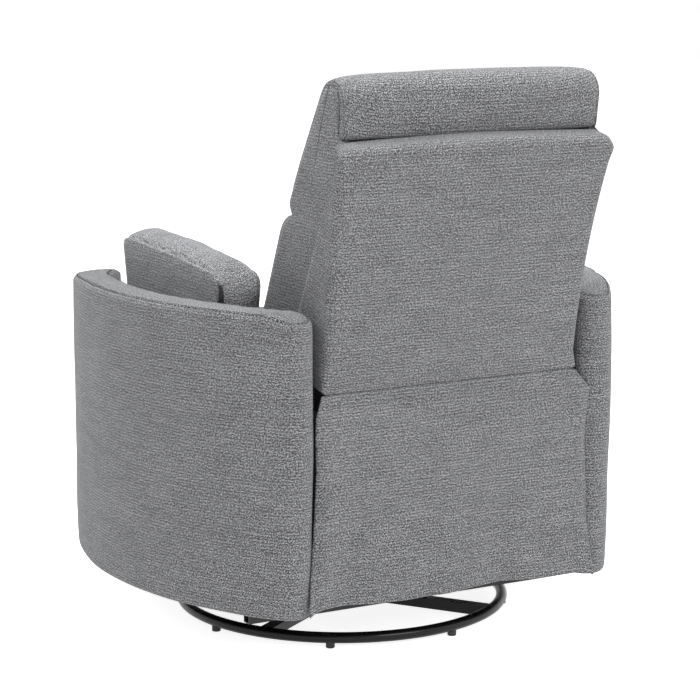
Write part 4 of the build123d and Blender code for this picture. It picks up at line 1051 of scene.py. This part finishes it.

# %% [markdown]
# ## Hanging cloth
# Below the outer back hangs a flap of the same cloth. It is sewn to the back's lower edge, falls
# over the frame and is free at the hem, so its folds grow from nothing at the seam to a soft wave
# at the hem. It is a sheet shaped to hang from the back over the frame.

# %% Flap
FLAP_PLACES, FLAP_HALF = (0, 0.10, 0.35, 0.7, 1), (0.254, 0.270, 0.2665, 0.2735, 0.286)
FLAP_CORNER_PLACES, FLAP_CORNER_IN = (0, 0.2, 0.75, 1), (0, 0.008, 0.011, -0.004)
FLAP_SHOULDER, FLAP_SHOULDER_Z, FLAP_SHOULDER_Y = 0.10, 0.451, 0.404
FLAP_HEM_Z, FLAP_HEM_Y = 0.118, 0.402
FLAP_HEM_HALF, FLAP_DROP, FLAP_RIGHT_EXTRA = 0.284, 0.372, 0.009
FLAP_THICKNESS = 0.003


def flap_shape(u, v):
    """Point of the flap's outside at u from -1 to 1 across and v from 0 at the seam to 1 at the hem.

    Half width, depth and height are straight lines from seam to shoulder to hem. The folds are a few
    sines of u whose depth grows as v ** 1.5, fine pleats die out away from the side edges, and the
    two lower corners curl out and hang lower.
    """
    half = np.interp(v, FLAP_PLACES, FLAP_HALF)
    half = half + np.where(u < 0, FLAP_RIGHT_EXTRA * np.clip(v / FLAP_SHOULDER, 0, 1) * (1 - v), 0)
    y = np.interp(v, [0, FLAP_SHOULDER, 1], [SEAM_Y - 0.001, FLAP_SHOULDER_Y, FLAP_HEM_Y])
    z = np.interp(v, [0, FLAP_SHOULDER, 1], [SEAM_Z - 0.0005, FLAP_SHOULDER_Z, FLAP_HEM_Z])
    depth = v ** 1.5
    folds = 0.0045 * np.sin(5.1 * u + 0.6) + 0.0030 * np.sin(11.7 * u + 2.0) + 0.0012 * np.sin(23.0 * u)
    drift = 0.0016 * np.sin(7.0 * v + 3.0 * u) * np.sin(np.pi * v)
    corner = np.clip((np.abs(u) - 0.90) / 0.10, 0, 1) ** 2
    from_edge = 1 - np.abs(u)
    pleats = 0.0011 * np.sin(170 * from_edge) * np.exp(-from_edge / 0.07) * np.sin(np.pi * v) ** 0.5
    y = y + folds * depth + drift + pleats - corner * np.interp(v, FLAP_CORNER_PLACES, FLAP_CORNER_IN)
    z = z - (0.008 * corner + 0.002 * np.sin(6.0 * u)) * v ** 4 - 0.003 * corner * (1 - v) ** 8
    return stack(half * u, y, z)


u, v = np.linspace(-1, 1, 181)[:, None], np.linspace(0, 1, 101)[None, :]
outside = flap_shape(u, v)
cloth = stack(u * FLAP_HEM_HALF, (1 - v) * (FLAP_SHOULDER_Z - FLAP_HEM_Z + 0.04))
flap = piece("hanging_flap", two_faced(outside, outside - np.array([0, FLAP_THICKNESS, 0]), cloth), tweed)
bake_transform(flap)
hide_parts("back_flap")

# %% [markdown]
# Behind each side edge of the flap a strip of black cloth closes the gap between the frame and the
# arm. It is stretched and stapled to both, so it stays flat.

# %% Black lining
LINING_Y, LINING_LOW, LINING_TOP = 0.3665, 0.125, 0.455
LINING_INNER, LINING_OUTER, LINING_HALF_THICKNESS = 0.2485, 0.2665, 0.0005
for side_name, side in (("left", 1), ("right", -1)):
    across = np.linspace(LINING_INNER, LINING_OUTER, 7)[:, None]
    up = np.linspace(LINING_LOW, LINING_TOP, 30)[None, :]
    patch = stack(side * across, LINING_Y + 0.0006 * np.sin(40 * up), up)
    lining = piece(f"{side_name}_lining", slab(patch, LINING_HALF_THICKNESS), dark_cloth_and_painted_shade)
    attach(lining, "frame")

# %% [markdown]
# ## Steel, wood and plastic
# The base is black enamelled tube: dark, smooth and glossy enough to draw a line of light along
# its top. Pressed steel inside is satin black and pins are zinc plated. Each finish varies a
# little over the surface, because a single even colour looks like plastic.

# %% Steel
def object_place(tree):
    """A point's place on the piece, in metres."""
    return tree.nodes.new("ShaderNodeTexCoord").outputs["Object"]


def stretched_place(tree, scale):
    """A point's place on the piece with each direction scaled, so that a noise becomes a grain."""
    stretch = tree.nodes.new("ShaderNodeMapping")
    stretch.inputs["Scale"].default_value = scale
    tree.links.new(object_place(tree), stretch.inputs["Vector"])
    return stretch.outputs["Vector"]


def grey_ramp(tree, shader, value, dark, light, low=0.3, high=0.7):
    """Base colour from one grey to another while the value goes from low to high."""
    stops = [(low, (dark,) * 3), (high, (light,) * 3)]
    tree.links.new(colour_ramp(tree, value, stops), shader.inputs["Base Color"])


def enamel(name, grey, rough):
    """Black enamel: slight orange peel in the bump and a roughness that varies in soft clouds."""
    made, tree, shader = material(name)
    place = object_place(tree)
    clouds = noise(tree, place, 18.0, 4.0)
    stops = [(0.3, (grey * 0.8,) * 3), (0.7, (grey * 1.3, grey * 1.3, grey * 1.36))]
    tree.links.new(colour_ramp(tree, clouds, stops), shader.inputs["Base Color"])
    tree.links.new(spread(tree, clouds, 0.3, 0.7, rough - 0.05, rough + 0.07), shader.inputs["Roughness"])
    shader.inputs["Specular IOR Level"].default_value = 0.18
    shader.inputs["Coat Weight"].default_value = 0.12
    shader.inputs["Coat Roughness"].default_value = 0.2
    bump(tree, shader, noise(tree, place, 420.0, 2.0), 0.00008, 0.5)
    return made


def brushed(name, grey, rough):
    """Bright steel, brushed along X: a noise fifteen times finer across than along."""
    made, tree, shader = material(name)
    grain = noise(tree, stretched_place(tree, (60.0, 900.0, 900.0)), 1.0, 3.0)
    grey_ramp(tree, shader, grain, grey * 0.85, grey * 1.1)
    shader.inputs["Metallic"].default_value = 1.0
    tree.links.new(spread(tree, grain, 0.3, 0.7, rough - 0.06, rough + 0.08), shader.inputs["Roughness"])
    return made


print("steel finishes ready")

# %% [markdown]
# The frame is plywood, the feet and the lever's grip are moulded plastic, and the seat hangs in
# black elastic belts.

# %% Wood, plastic and belts
PLY_BROWNS = [(0.3, (0.30, 0.19, 0.10)), (0.55, (0.50, 0.36, 0.21)), (0.75, (0.62, 0.47, 0.30))]
BELT_RIB = 0.002


def plywood(name):
    """Pale ply: a noise drawn out twenty times along X, with darker veins."""
    made, tree, shader = material(name)
    grain = noise(tree, stretched_place(tree, (3.0, 60.0, 60.0)), 1.0, 5.0, 0.65)
    tree.links.new(colour_ramp(tree, grain, PLY_BROWNS), shader.inputs["Base Color"])
    shader.inputs["Roughness"].default_value = 0.75
    bump(tree, shader, grain, 0.0002, 0.5)
    return made


def moulded(name, grey):
    """Black moulded plastic with a fine spark-eroded grain."""
    made, tree, shader = material(name)
    grain = noise(tree, object_place(tree), 1400.0, 2.0)
    grey_ramp(tree, shader, grain, grey * 0.8, grey * 1.2)
    shader.inputs["Roughness"].default_value = 0.55
    bump(tree, shader, grain, 0.0001, 0.6)
    return made


def belting(name):
    """Black elastic webbing: ribs every two millimetres, as sin(2 pi y / rib), with painted shade that
    darkens the grooves between them.
    """
    made, tree, shader = material(name)
    split = tree.nodes.new("ShaderNodeSeparateXYZ")
    tree.links.new(object_place(tree), split.inputs[0])
    ribs = math_node(tree, "SINE", math_node(tree, "MULTIPLY", split.outputs[1], 2 * math.pi / BELT_RIB))
    # The colour follows the ribs' height: painted shade in the grooves between ribs.
    grey_ramp(tree, shader, spread(tree, ribs, -1, 1), 0.012, 0.05, 0.2, 0.8)
    shader.inputs["Roughness"].default_value = 0.85
    bump(tree, shader, ribs, 0.0003)
    return made


# %% [markdown]
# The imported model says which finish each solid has, by the name of its slot. So one table of
# slots and materials dresses the whole frame.

# %% Finishes on the frame
finishes = {
    "black_steel": enamel("ring_enamel", 0.006, 0.26),
    "mechanism_steel": enamel("mechanism_enamel", 0.018, 0.42),
    "bright_steel": brushed("zinc", 0.55, 0.35),
    "frame_wood": plywood("plywood"),
    "black_plastic": moulded("moulded_black", 0.02),
    "webbing": belting("belting"),
}
for entry in frame["record"]["subparts"]:
    node = frame["nodes"][entry["node"]]
    finish = finishes.get(entry["material_slot"])
    if finish:
        for number in range(max(len(node.data.materials), 1)):
            if len(node.data.materials):
                node.data.materials[number] = finish
            else:
                node.data.materials.append(finish)
print("finishes:", ", ".join(finishes))

# %% [markdown]
# ## Camera
# The chair is seen from behind and to its left, from a little above the seat. The camera's
# place, height and lens follow from the ring base: a circle of known size seen as an ellipse.

# %% Camera
CAMERA_AZIMUTH, CAMERA_PITCH, CAMERA_YAW = math.radians(150.83), math.radians(10.42), math.radians(-0.20)
CAMERA_DISTANCE, CAMERA_HEIGHT = 4.5, 1.3058
FOCAL_PIXELS, IMAGE_PIXELS, SENSOR = 2476.7, 700, 36.0

camera_data = bpy.data.cameras.new("camera")
camera_data.sensor_width = SENSOR
camera_data.lens = FOCAL_PIXELS / IMAGE_PIXELS * SENSOR
camera = bpy.data.objects.new("camera", camera_data)
camera.location = (math.sin(CAMERA_AZIMUTH) * CAMERA_DISTANCE,
                   -math.cos(CAMERA_AZIMUTH) * CAMERA_DISTANCE, CAMERA_HEIGHT)
camera.rotation_euler = (math.pi / 2 - CAMERA_PITCH, 0, CAMERA_AZIMUTH + CAMERA_YAW)
bpy.context.scene.collection.objects.link(camera)
bpy.context.scene.camera = camera
print("lens", round(camera_data.lens, 1))

# %% [markdown]
# ## Studio
# A wide soft lamp behind the chair on the camera's side, a weaker one on each side and a broad one
# overhead. Small lamps would draw hard shadows, which the photograph doesn't have.

# %% Lamps
def lamp(name, place, target, size, power):
    """A square area lamp at a place, turned to a target."""
    data = bpy.data.lights.new(name, "AREA")
    data.size = size
    data.energy = power
    obj = bpy.data.objects.new(name, data)
    obj.location = place
    direction = np.array(target) - np.array(place)
    flat = math.hypot(direction[0], direction[1])
    obj.rotation_euler = (math.pi / 2 + math.atan2(direction[2], flat), 0,
                          math.atan2(direction[1], direction[0]) - math.pi / 2)
    bpy.context.scene.collection.objects.link(obj)


CHAIR_MIDDLE = (0, 0, 0.5)
lamp("key", (-0.9, 4.3, 3.0), CHAIR_MIDDLE, 2.2, 112)
lamp("left_fill", (3.6, -0.3, 3.3), CHAIR_MIDDLE, 2.0, 62)
lamp("right_fill", (-3.8, 2.5, 1.6), CHAIR_MIDDLE, 2.5, 20)
lamp("top", (0, 0.3, 4.2), (0, 0, 0), 3.0, 190)
print("lamps:", ", ".join(light.name for light in bpy.data.lights))

# %% [markdown]
# The world and the floor are white where the camera or a reflection sees them, and dimmer as a
# light on the chair. So the background stays white, and the floor keeps the chair's shadow.

# %% White surroundings
WORLD_LIGHT, FLOOR_GLOW, FLOOR_WHITE, FLOOR_REACH = 0.36, 0.88, 0.93, 12.0


def seen_directly(tree):
    """1 for camera, glossy and transmission rays, 0 for light that falls on the chair."""
    paths = tree.nodes.new("ShaderNodeLightPath")
    seen = math_node(tree, "MAXIMUM", paths.outputs["Is Camera Ray"], paths.outputs["Is Glossy Ray"])
    return math_node(tree, "MAXIMUM", seen, paths.outputs["Is Transmission Ray"])


world = bpy.data.worlds.new("studio")
bpy.context.scene.world = world
world.use_nodes = True
tree = world.node_tree
background = tree.nodes["Background"]
tree.links.new(spread(tree, seen_directly(tree), 0, 1, WORLD_LIGHT, 1.0), background.inputs["Strength"])
background.inputs["Color"].default_value = (1, 1, 1, 1)

floor_mesh = bpy.data.meshes.new("floor")
floor_corners = [(x * FLOOR_REACH, y * FLOOR_REACH, 0) for x, y in ((-1, -1), (1, -1), (1, 1), (-1, 1))]
floor_mesh.from_pydata(floor_corners, [], [(0, 1, 2, 3)])
floor = bpy.data.objects.new("floor", floor_mesh)
bpy.context.scene.collection.objects.link(floor)
white, tree, shader = material("floor_white")
shader.inputs["Base Color"].default_value = (FLOOR_WHITE, FLOOR_WHITE, FLOOR_WHITE, 1)
shader.inputs["Roughness"].default_value = 0.9
shader.inputs["Specular IOR Level"].default_value = 0.0
glow = math_node(tree, "MULTIPLY", seen_directly(tree), FLOOR_GLOW)
tree.links.new(glow, shader.inputs["Emission Strength"])
shader.inputs["Emission Color"].default_value = (1, 1, 1, 1)
floor_mesh.materials.append(white)
bpy.context.scene.view_settings.view_transform = "Standard"
print("world light", WORLD_LIGHT, "floor glow", FLOOR_GLOW)
